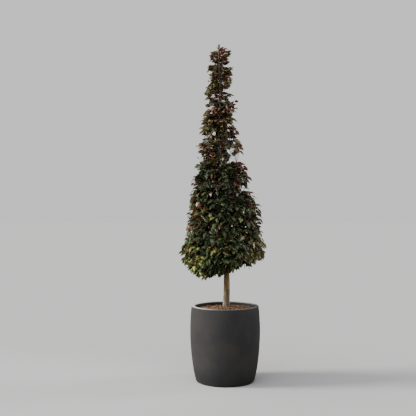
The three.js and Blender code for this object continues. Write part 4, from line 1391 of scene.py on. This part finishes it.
def apex_of(tier):
    """The place on the trunk that a tier's wedges share."""
    return trunk_at(max(foot_height(tier, 0), SKIRT_FOOT) + APEX_LIFT)


def next_tier(tier):
    after = TIERS.index(tier) + 1
    return TIERS[after] if after < len(TIERS) else None


def foot_at(tier, p):
    apex = apex_of(tier)
    return foot_height(tier, math.hypot(p.x - apex.x, p.y - apex.y))


def top_at(tier, p):
    after = next_tier(tier)
    return foot_at(after, p) if after else LEADER_TOP


def outline_height(tier, share):
    """A height at the crown's outline, a share of the way up a tier."""
    after = next_tier(tier)
    return mix(tier["foot"], after["foot"] if after else LEADER_TOP, share)


def height_in(mass, p, share):
    """A height within a mass at a place, a share of the way up it."""
    return mix(foot_at(mass["tier"], p), top_at(mass["tier"], p), share) + mass["lift"]


def lay_out_masses():
    """The masses of foliage, tier by tier: each one's wedge, and how far it is lifted or lowered."""
    random = RandomStream(LAYOUT_SEED)
    return [
        dict(
            tier=tier,
            apex=apex_of(tier),
            azimuth=(i + tier["turn"]) / tier["masses"] * 2 * math.pi,
            half_angle=math.pi / tier["masses"],
            lift=random.between(-MASS_LIFT, MASS_LIFT),
            number=i + 1,
        )
        for tier in TIERS
        for i in range(tier["masses"])
    ]


MASSES = lay_out_masses()


def towards(azimuth):
    return Vector((math.cos(azimuth), math.sin(azimuth), 0))


def bough_path(mass):
    """A bough leaves the trunk rising, and ends at the inside of its mass."""
    tier = mass["tier"]
    reach = tier["core"][0] * crown_radius(outline_height(tier, 0.5)) - BOUGH_TO_CORE
    tip = mass["apex"] + towards(mass["azimuth"]) * reach
    tip.z = height_in(mass, tip, BOUGH_HEIGHT)
    root = trunk_at(tip.z - reach * BOUGH_RISE)
    return bend_through(root, root.lerp(tip, 0.5) - UP * BOUGH_SAG, tip, BOUGH_STEPS)


def stem_path(mass):
    """A mass's stem goes on from its bough, or starts on the trunk."""
    tier = mass["tier"]
    out = towards(mass["azimuth"])
    shape = DENSE_STEM if tier["core"] else OPEN_STEM
    height = outline_height(tier, shape["height"])
    end_radius = crown_radius(height) - SOURCE_LEAF_LENGTH * tier["leaf"] * shape["leaf_room"]
    end = Vector((crown_axis_x(height), 0, 0)) + out * end_radius
    end.z = height_in(mass, end, shape["height"])
    if has_bough(tier):
        path = bough_path(mass)
        heading = (path[-1] - path[-2]).normalized()
        return bend_through(path[-1], path[-1] + heading * STEM_LEAD, end, STEM_STEPS)
    root_height = height_in(mass, mass["apex"], STEM_ROOT_HEIGHT)
    start = trunk_at(root_height) + out * trunk_radius(root_height) * STEM_ROOT_INSIDE
    return bend_through(start, start.lerp(end, 0.5) + out * end_radius * STEM_BOW, end, STEM_STEPS)


def in_crown(p, slack):
    """Whether a leaf's tip is inside the crown's outline, give or take some slack, and clear of the trunk."""
    if p.z < along(UNDERSIDE, p.x) - slack or p.z > CAD_BOX[1].z:
        return False
    if not CAD_BOX[0].y - BOX_SLACK < p.y < CAD_BOX[1].y + BOX_SLACK:
        return False
    if math.hypot(p.x - crown_axis_x(p.z), p.y) > crown_reach(p) + slack:
        return False
    trunk = trunk_at(p.z)
    return math.hypot(p.x - trunk.x, p.y - trunk.y) > trunk_radius(p.z) + TRUNK_GAP


def seen_from_front(p):
    """Where a place shows at the trunk's depth, as seen from the front."""
    return VIEW_FROM + (p - VIEW_FROM) * (-VIEW_FROM.y / (p.y - VIEW_FROM.y))


def in_sky_gap(p, gap_share):
    """Whether a place is in that share of a gap that the sky shows through."""
    seen = seen_from_front(p)
    for x, z, radius in SKY_GAPS:
        if math.hypot(seen.x - x, seen.z - z) < radius * gap_share + SKY_GAP_MARGIN:
            return True
    return False


def leaf_density(p):
    """Share of the leaves that grow at a place."""
    seen = seen_from_front(p)
    shares = [s for x, z, radius, s in AIRY_PARTS if math.hypot(seen.x - x, seen.z - z) < radius]
    return min([1, *shares])


def mass_stream(mass, first_seed):
    """The mass's own stream of random numbers, from a first seed that says what it is for."""
    return RandomStream(first_seed + TIER_SEEDS * TIERS.index(mass["tier"]) + mass["number"])


def twig_lines(mass, stem):
    """The twigs of a mass reach from its stem for evenly spread places on the crown's outline."""
    tier = mass["tier"]
    random = mass_stream(mass, TWIG_SEED)
    rows = tier["rows"]
    places = [
        (((i + 0.5) / count * 2 - 1) * TWIG_SPREAD, (row + 0.5) / len(rows))
        for row, count in enumerate(rows)
        for i in range(count)
    ]
    lines = []
    for k, (u, v) in enumerate(places):
        u += random.between(-TWIG_SCATTER[0], TWIG_SCATTER[0])
        v += random.between(-TWIG_SCATTER[1], TWIG_SCATTER[1])
        height = outline_height(tier, v)
        root, _ = path_point(stem, mix(*TWIGS_ALONG_STEM, (k + 0.5) / len(places)))
        radius = crown_radius(height) - SOURCE_LEAF_LENGTH * tier["leaf"] * random.between(*TWIG_LEAF_ROOM)
        end = Vector((mix(mass["apex"].x, crown_axis_x(height), TWIG_AIM), 0, 0))
        end += towards(mass["azimuth"] + u * mass["half_angle"]) * radius
        end.z = height_in(mass, end, v)
        if (end - root).length > TWIG_SHORTEST:
            bend = root.lerp(end, 0.5) + UP * TWIG_ARCH * (end - root).length
            lines.append(bend_through(root, bend, end, TWIG_STEPS))
    return lines


# Finer growth: shoots on the twigs, and leaves on the shoots


class Growth:
    """The twigs and leaves of one part of the crown, gathered until they are made into meshes."""

    def __init__(self, settings):
        self.leaf_length = settings.length * settings.scale
        self.points, self.thickness, self.edges = [], [], []
        self.leaves = {}
        self.shade = RandomStream(SHADE_SEED)

    def add_twig(self, path, radius, tip_radius):
        first = len(self.points)
        self.points += path
        self.thickness += [mix(radius, tip_radius, i / (len(path) - 1)) for i in range(len(path))]
        self.edges += [(first + i, first + i + 1) for i in range(len(path) - 1)]

    def add_leaf(self, tint, root, bearing, pitch, roll, size, slack, random):
        """A leaf at the first of a few bearings about its own that keeps its tip inside the crown."""
        shape = int(random() * len(LEAF_BENDS))
        gap_share = random.between(*SKY_GAP_SHARE)
        hides_leader = random() < LEADER_SHOWN_SHARE
        if random() > leaf_density(root):
            return
        for turn, scale in LEAF_TRIES:
            out = towards(bearing + turn)
            heading = out * math.cos(pitch) + UP * math.sin(pitch)
            tip = root + heading * (self.leaf_length * size * scale)
            blade = [root.lerp(tip, share) for share in BLADE_PLACES]
            if hides_leader and any(before_leader(p) for p in blade):
                continue
            if any(in_sky_gap(p, gap_share) for p in blade):
                continue
            if in_crown(tip, slack):
                facing = UP * math.cos(pitch) - out * math.sin(pitch)
                facing = facing * math.cos(roll) + heading.cross(facing) * math.sin(roll)
                self.leaves.setdefault(tint, []).append((root, heading, facing, size * scale, shape))
                return


def before_leader(p):
    """Whether a place is just before the stretch of the leader that shows."""
    leader = trunk_at(p.z)
    shown = any(low < p.z < high for low, high in LEADER_SHOWS)
    return shown and p.y < leader.y and abs(p.x - leader.x) < LEADER_SHOWN_WIDTH


def palette_at(place, random):
    """The tints dealt out at a place, with ragged borders between the crown's parts."""
    out, share = crown_out(place)
    side = out.x * share + random.between(-RAGGED_SIDE, RAGGED_SIDE)
    height = place.z + random.between(-RAGGED_HEIGHT, RAGGED_HEIGHT)
    column = "left" if side < -SIDE_SHARE else "right" if side > SIDE_SHARE else "middle"
    for top, name in ZONES:
        if height < top:
            return PALETTES[f"{name}_{column}"]
    return PALETTES["top"]


def pick_tint(palette, random):
    left = random() * sum(palette.values())
    for tint, share in palette.items():
        left -= share
        if left <= 0:
            return tint
    return tint


class Spray:
    """What the leaves of one spray share: their tints, size, and how they are held."""

    def __init__(self, end, inside, shade, random):
        self.palette = PALETTES["inside"] if inside else palette_at(end, random)
        if not inside and shade < along(SHADED_SPRAYS, end.z):
            self.palette = PALETTES["high_shaded" if end.z > PURPLE_SHADE else "shaded"]
        self.tints = [pick_tint(self.palette, random), pick_tint(self.palette, random)]
        self.size = along(LEAF_SIZES, end.z) * (INSIDE_LEAF_SIZE if inside else 1)
        self.pitch = along(LEAF_PITCHES, end.z) + along(SPRAY_PITCH_SCATTER, end.z) * random.between(-1, 1)
        self.roll = along(SPRAY_ROLLS, end.z) * random.between(-1, 1)

    def tint(self, random):
        luck = random()
        for tint, share in zip(self.tints, TINT_SHARES):
            if luck < share:
                return tint
        return pick_tint(self.palette, random)


def leaves_along(growth, path, spray, count, random):
    """Two rows of leaves along a shoot, from its end back, with one at the end."""
    length = sum((b - a).length for a, b in zip(path, path[1:]))
    for i in range(count):
        back = i * LEAF_SPACING * spray.size
        if back > length * LEAFY_SHARE:
            break
        root, heading = path_point(path, 1 - back / length)
        level = crown_out(root)[0] + Vector((heading.x, heading.y, 0))
        row = 0 if i == 0 else 1 if i % 2 else -1
        bearing = math.atan2(level.y, level.x) + row * LEAF_ROW_ANGLE + LEAF_SCATTER * random.between(-1, 1)
        pitch = spray.pitch + LEAF_SCATTER * random.between(-1, 1)
        roll = spray.roll + row * LEAF_SCATTER + LEAF_SCATTER * random.between(-1, 1)
        size = spray.size * random.between(*LEAF_SIZE_RANGE)
        slack = mix(*OUTLINE_SLACK, 1 if i == 0 else random() ** OUTLINE_SLACK_SKEW)
        growth.add_leaf(spray.tint(random), root, bearing, pitch, roll, size, slack, random)


def grow_shoot(growth, root, end, inside, random):
    """A leafy shoot with a side shoot or two: one spray."""
    span = (end - root).length
    arch = along(SHOOT_ARCH, end.z) * span
    path = bend_through(root, root.lerp(end, 0.5) + UP * arch, end, SHOOT_STEPS)
    growth.add_twig(path, SHOOT_RADIUS, SHOOT_TIP_RADIUS)
    spray = Spray(end, inside, growth.shade(), random)
    count = int(min(LEAFY_LENGTH, span) / (LEAF_SPACING * spray.size))
    leaves_along(growth, path, spray, max(FEWEST_LEAVES, count), random)
    places = SIDE_SHOOT_PLACES[:1] if inside or span < SHORT_SHOOT else SIDE_SHOOT_PLACES
    for k, share in enumerate(places):
        start, heading = path_point(path, share)
        side = UP.cross(heading).normalized() * (1 if k % 2 else -1)
        tip = start + (heading + side).normalized() * random.between(*SIDE_SHOOT_LENGTH)
        if in_crown(tip, 0):
            side_path = bend_through(start, start.lerp(tip, 0.5) + heading * SIDE_SHOOT_ARCH, tip, 2)
            growth.add_twig(side_path, SIDE_SHOOT_RADIUS, SHOOT_TIP_RADIUS)
            leaves_along(growth, side_path, spray, SIDE_SHOOT_LEAVES, random)


def shoot_places(growth, mass, layer, random):
    """Places that the shoots of a mass grow to, evenly spread over a layer of it and shifted at random."""
    tier = mass["tier"]
    spacing = layer["spacing"]
    rows = max(1, round((outline_height(tier, 1) - outline_height(tier, 0)) / spacing))
    for row in range(rows):
        radius = crown_radius(outline_height(tier, (row + 0.5) / rows)) * layer["reach"]
        columns = max(1, round(2 * mass["half_angle"] * radius / spacing))
        for column in range(columns):
            v = (row + 0.5 + random.between(-SHOOT_JITTER, SHOOT_JITTER)) / rows
            u = 2 * (column + 0.5 + random.between(-SHOOT_JITTER, SHOOT_JITTER)) / columns - 1
            height = outline_height(tier, v)
            out = towards(mass["azimuth"] + u * mass["half_angle"])
            place = Vector((crown_axis_x(height), 0, height)) + out * NEAR_AXIS
            leaf_length = growth.leaf_length * along(LEAF_SIZES, height)
            room = leaf_length * math.cos(along(LEAF_PITCHES, height)) * random.between(*SHOOT_END_ROOM)
            place += out * (crown_reach(place) * layer["reach"] - room)
            height = mix(foot_at(tier, place), top_at(tier, place), v)
            place.z = max(height, along(UNDERSIDE, place.x) + random.between(*TIER_SHOOT_LIFT))
            yield place


def underside_places(mass, random):
    """Places under the lowest tier, where shoots hang between the trunk and the outline."""
    for share in UNDERSIDE_SHARES:
        radius = share * crown_radius(SKIRT_FOOT + UNDERSIDE_WIDTH_ABOVE)
        columns = max(1, round(2 * mass["half_angle"] * radius / UNDERSIDE_SPACING))
        for column in range(columns):
            u = 2 * (column + 0.5 + random.between(-SHOOT_JITTER, SHOOT_JITTER)) / columns - 1
            place = mass["apex"] + towards(mass["azimuth"] + u * mass["half_angle"]) * radius
            place.z = along(UNDERSIDE, place.x) + random.between(*UNDERSIDE_SHOOT_LIFT)
            yield place


def nearest_carrier(carriers, place):
    """Where a shoot leaves: the nearest point of the twigs, the lower ones first, as shoots rise."""

    def distance(p):
        return (place - p).length + HEIGHT_PENALTY * max(0.0, p.z - place.z)

    return min(carriers, key=distance)


def grow_mass(growth, mass):
    """One mass of foliage, from its stem out to its leaves."""
    tier = mass["tier"]
    stem = stem_path(mass)
    growth.add_twig(stem, STEM_RADIUS, STEM_TIP_RADIUS)
    carriers = [path_point(stem, share)[0] for share in STEM_CARRIERS]
    for line in twig_lines(mass, stem):
        growth.add_twig(line, TWIG_RADIUS, TWIG_TIP_RADIUS)
        carriers += [path_point(line, share)[0] for share in TWIG_CARRIERS]
    if not has_bough(tier):
        low, high = outline_height(tier, 0) - TRUNK_CARRIERS_BELOW, outline_height(tier, 1)
        shares = [i / (TRUNK_CARRIERS - 1) for i in range(TRUNK_CARRIERS)]
        carriers += [trunk_at(mix(low, high, share)) for share in shares]
    random = mass_stream(mass, SHOOT_SEED)
    layers = LEADER_LAYERS if tier is TIERS[-1] else DENSE_LAYERS if tier["core"] else OPEN_LAYERS
    for layer in layers:
        for place in shoot_places(growth, mass, layer, random):
            grow_shoot(growth, nearest_carrier(carriers, place), place, layer["inside"], random)
    if tier is TIERS[0]:
        for place in underside_places(mass, random):
            grow_shoot(growth, nearest_carrier(carriers, place), place, False, random)


def grow_tip(growth):
    """The leader's end: a tip with a bud, and a loose whorl of leaves below it."""
    random = RandomStream(TIP_SEED)
    end = trunk_at(TRUNK_TOP)
    bud = Vector((end.x + BUD_ASIDE, end.y, CAD_BOX[1].z - BUD_BELOW_TOP))
    growth.add_twig([end - UP * TIP_TWIG_START, end.lerp(bud, 0.5), bud], *TIP_TWIG_RADII)
    growth.add_twig([bud - UP * BUD_FOOT, bud, bud + UP * BUD_POINT], *BUD_RADII)
    for i in range(WHORL_LEAVES):
        share = i / (WHORL_LEAVES - 1)
        bearing = i * WHORL_TURN
        root = trunk_at(mix(WHORL_FOOT, TRUNK_TOP, share)).lerp(bud, share / 2)
        root += towards(bearing) * mix(*WHORL_RADII, share)
        tint = pick_tint(PALETTES["top"], random)
        pitch = mix(*WHORL_PITCHES, share) + random.between(-WHORL_PITCH_SCATTER, WHORL_PITCH_SCATTER)
        size = mix(*WHORL_SIZES, share) * random.between(*WHORL_SIZE_RANGE)
        roll = WHORL_ROLL_SCATTER * random.between(-1, 1)
        growth.add_leaf(tint, root, bearing, pitch, roll, size, WHORL_SLACK, random)


# Meshes of leaves and twigs


def leaf_shape(settings, number):
    """A thin closed leaf along +Y with its face up: oval and pointed, with waved edges."""
    edge_rise, droop, twist = LEAF_BENDS[number]
    random = RandomStream(LEAF_SEED + number)
    length, half_width = settings.length, settings.width / 2
    base, tip = 0, 1
    vertices = [(0, 0, 0), (0, length, -droop * length)]
    for t, share in LEAF_OUTLINE:
        half = half_width * share
        sag = -droop * length * t * t
        for side in (-1, 1):
            rise = edge_rise * half + settings.wave * random.between(-1, 1)
            angle = twist * t
            x = side * half * math.cos(angle) - rise * math.sin(angle)
            z = side * half * math.sin(angle) + rise * math.cos(angle)
            vertices.append((x, length * t, sag + z))
        vertices.append((0, length * t, sag))
        vertices.append((0, length * t, sag - settings.thickness))
    rows = len(LEAF_OUTLINE)
    # Each row has its left edge, right edge, and rib above and below
    left, right, rib, under = [[2 + 4 * r + k for r in range(rows)] for k in range(4)]
    faces = []
    for west, east in ((left, rib), (rib, right), (right, under), (under, left)):
        faces.append((base, east[0], west[0]))
        faces.append((west[-1], east[-1], tip))
        for r in range(rows - 1):
            faces.append((west[r], east[r], east[r + 1], west[r + 1]))
    return piece(f"leaf_shape_{number}", vertices, faces, None)


def points_with(name, places, values=(), edges=()):
    """A bare mesh of points that carry values, each given as (value name, kind, one for each point)."""
    mesh = bpy.data.meshes.new(name)
    mesh.from_pydata([tuple(p) for p in places], list(edges), [])
    for label, kind, column in values:
        made = mesh.attributes.new(label, kind, "POINT")
        if kind == "FLOAT_VECTOR":
            made.data.foreach_set("vector", [x for value in column for x in value])
        else:
            made.data.foreach_set("value", column)
    return mesh


def leaf_points(name, leaves):
    """A bare mesh with a point for each leaf, which carries how the leaf is laid."""
    places, headings, facings, sizes, shapes = zip(*leaves)
    values = [
        ("along", "FLOAT_VECTOR", headings),
        ("facing", "FLOAT_VECTOR", facings),
        ("size", "FLOAT", sizes),
        ("shape", "INT", shapes),
    ]
    return points_with(name, places, values)


def build_foliage(leaf_settings, bark_settings):
    """Twigs and leaves of the whole crown: a piece for each tint of leaf, low and high."""
    growths = {"lower": Growth(leaf_settings), "upper": Growth(leaf_settings)}
    nodes = {"lower": [], "upper": ["leader_tip_tuft"]}
    for mass in MASSES:
        part = "lower" if mass["tier"]["name"] in LOWER_TIERS else "upper"
        grow_mass(growths[part], mass)
        nodes[part].append(f"{mass['tier']['name']}_foliage_{mass['number']}")
    grow_tip(growths["upper"])

    shapes = collection_of("leaf_shapes", [leaf_shape(leaf_settings, i) for i in range(len(LEAF_BENDS))])
    leaf_nodes, twig_nodes = leaf_tree(), twig_tree()
    twig_bark = twig_finish(bark_settings)
    finishes = {}
    for part, growth in growths.items():
        slot = "green_purple_leaf" if part == "lower" else "copper_purple_leaf"
        thickness = [("thickness", "FLOAT", growth.thickness)]
        net = points_with(f"{part}_net", growth.points, thickness, growth.edges)
        twigs = grow(f"{part}_twigs", net, twig_nodes, Sides=TWIG_SKIN_SIDES, Material=twig_bark)
        dress(twigs, slot, *nodes[part])
        for tint, leaves in sorted(growth.leaves.items()):
            if tint not in finishes:
                finishes[tint] = leaf_finish(f"{tint}_leaf", getattr(leaf_settings, tint))
            made = grow(
                f"{part}_{tint}_leaves",
                leaf_points(f"{part}_{tint}_points", leaves),
                leaf_nodes,
                Leaves=shapes,
                Scale=leaf_settings.scale,
                Material=finishes[tint],
            )
            dress(made, slot, *nodes[part])
    drop_collection(shapes)


# Stage


def studio_sky():
    """A pale backdrop for the camera, and for the light a dim sky with a bright patch at the upper left."""
    world = bpy.data.worlds.new("studio")
    world.use_nodes = True
    tree = world.node_tree
    tree.nodes.clear()
    direction = add(tree, "ShaderNodeTexCoord").outputs["Generated"]
    to_patch = {0: direction, 1: BRIGHT_PATCH.normalized()}
    nearness = add(tree, "ShaderNodeVectorMath", to_patch, operation="DOT_PRODUCT").outputs["Value"]
    glow = spread(tree, nearness, (0.0, 1.0), to=(SKY_DIM, SKY_BRIGHT))
    sky = add(tree, "ShaderNodeBackground", {"Color": (*SKY_COLOUR, 1), "Strength": glow})
    seen = add(tree, "ShaderNodeBackground", {"Color": (*BACKDROP_COLOUR, 1), "Strength": 1.0})
    rays = add(tree, "ShaderNodeLightPath").outputs["Is Camera Ray"]
    both = add(tree, "ShaderNodeMixShader", {0: rays, 1: sky.outputs[0], 2: seen.outputs[0]})
    add(tree, "ShaderNodeOutputWorld", {"Surface": both.outputs[0]})
    bpy.context.scene.world = world


def in_scene(name, data, place):
    """A light or a camera at its place in the scene."""
    made = bpy.data.objects.new(name, data)
    made.location = place
    bpy.context.scene.collection.objects.link(made)
    return made


def add_light(name, kind, place, target, **settings):
    """A light that shines from a place to a target. Settings are the light's own."""
    light = bpy.data.lights.new(name, kind)
    for label, value in settings.items():
        setattr(light, label, value)
    made = in_scene(name, light, place)
    made.rotation_euler = (target - place).to_track_quat("-Z", "Y").to_euler()


def build_stage(settings):
    """A plain pale floor, the sky and the lights, and the camera."""
    angles = [2 * math.pi * k / FLOOR_SIDES for k in range(FLOOR_SIDES)]
    corners = [(FLOOR_RADIUS * math.cos(a), FLOOR_RADIUS * math.sin(a), 0) for a in angles]
    finish, shader = blank_finish("pale_floor", settings.floor, 1.0, specular=0.0)
    tree = finish.node_tree
    rays = add(tree, "ShaderNodeLightPath").outputs["Is Camera Ray"]
    tree.links.new(blend(tree, rays, settings.floor_bounce, settings.floor), shader.inputs["Base Color"])
    floor = piece("floor", corners, [tuple(range(FLOOR_SIDES))], finish)
    studio_sky()
    broad = dict(energy=SUN_POWER, angle=SUN_WIDTH, color=SUN_COLOUR)
    add_light("sun", "SUN", SUN_FROM, Vector((0, 0, 0)), **broad)
    soft = dict(
        energy=FILL_POWER, spot_size=FILL_CONE, spot_blend=FILL_CONE_BLUR, shadow_soft_size=FILL_SIZE
    )
    add_light("fill_light", "SPOT", FILL_PLACE, FILL_TARGET, **soft)
    camera = bpy.data.cameras.new("camera")
    camera.lens = settings.lens
    camera.sensor_width = SENSOR_WIDTH
    camera.shift_y = settings.shift
    made = in_scene("camera", camera, (settings.camera_x, settings.camera_y, settings.camera_z))
    made.rotation_euler = (math.pi / 2, 0, 0)
    bpy.context.scene.camera = made


# Operators, panel and the whole plant


class BEECH_OT_planter(bpy.types.Operator):
    """Add the fibre cement planter and finish the soil in it"""

    bl_idname = "beech.planter"
    bl_label = "Planter"

    def execute(self, context):
        build_planter(context.scene.beech_planter)
        frame["nodes"]["potting_soil"].material_slots[0].material = damp_soil()
        return {"FINISHED"}


class BEECH_OT_mulch(bpy.types.Operator):
    """Add the bark mulch"""

    bl_idname = "beech.mulch"
    bl_label = "Bark Mulch"

    def execute(self, context):
        build_mulch(context.scene.beech_mulch)
        return {"FINISHED"}


class BEECH_OT_limbs(bpy.types.Operator):
    """Add the bark-covered trunk and boughs"""

    bl_idname = "beech.limbs"
    bl_label = "Trunk and Boughs"

    def execute(self, context):
        settings = context.scene.beech_bark
        finish = beech_bark(settings)
        build_trunk(settings, finish)
        build_boughs(settings, finish)
        return {"FINISHED"}


class BEECH_OT_foliage(bpy.types.Operator):
    """Grow the twigs and leaves of the crown"""

    bl_idname = "beech.foliage"
    bl_label = "Twigs and Leaves"

    def execute(self, context):
        build_foliage(context.scene.beech_leaf, context.scene.beech_bark)
        return {"FINISHED"}


class BEECH_OT_stage(bpy.types.Operator):
    """Add the floor, the lights and the camera"""

    bl_idname = "beech.stage"
    bl_label = "Stage"

    def execute(self, context):
        build_stage(context.scene.beech_stage)
        return {"FINISHED"}


class BEECH_PT_sidebar(bpy.types.Panel):
    """Sizes and colours of the potted beech, and its pieces"""

    bl_label = "Potted Beech"
    bl_space_type = "VIEW_3D"
    bl_region_type = "UI"
    bl_category = "Beech"

    def draw(self, context):
        for label, group, operator in STEPS:
            box = self.layout.box()
            box.operator(operator.bl_idname, text=operator.bl_label)
            settings = getattr(context.scene, label)
            for name in group.__annotations__:
                box.prop(settings, name)


# Name of each group of settings in the scene, its class, and the operator that uses it, in building order
STEPS = [
    ("beech_planter", PlanterSettings, BEECH_OT_planter),
    ("beech_mulch", MulchSettings, BEECH_OT_mulch),
    ("beech_bark", BarkSettings, BEECH_OT_limbs),
    ("beech_leaf", LeafSettings, BEECH_OT_foliage),
    ("beech_stage", StageSettings, BEECH_OT_stage),
]


def register():
    for label, group, operator in STEPS:
        bpy.utils.register_class(group)
        bpy.utils.register_class(operator)
        setattr(bpy.types.Scene, label, PointerProperty(type=group))
    bpy.utils.register_class(BEECH_PT_sidebar)


def unregister():
    bpy.utils.unregister_class(BEECH_PT_sidebar)
    for label, group, operator in reversed(STEPS):
        delattr(bpy.types.Scene, label)
        bpy.utils.unregister_class(operator)
        bpy.utils.unregister_class(group)


def main():
    """Build the whole plant and its stage."""
    for left_over in [o for o in bpy.context.scene.objects if o.type in ("CAMERA", "LIGHT")]:
        bpy.data.objects.remove(left_over)
    register()
    bpy.ops.beech.planter()
    bpy.ops.beech.mulch()
    bpy.ops.beech.limbs()
    bpy.ops.beech.foliage()
    bpy.ops.beech.stage()


if __name__ == "__main__":
    main()
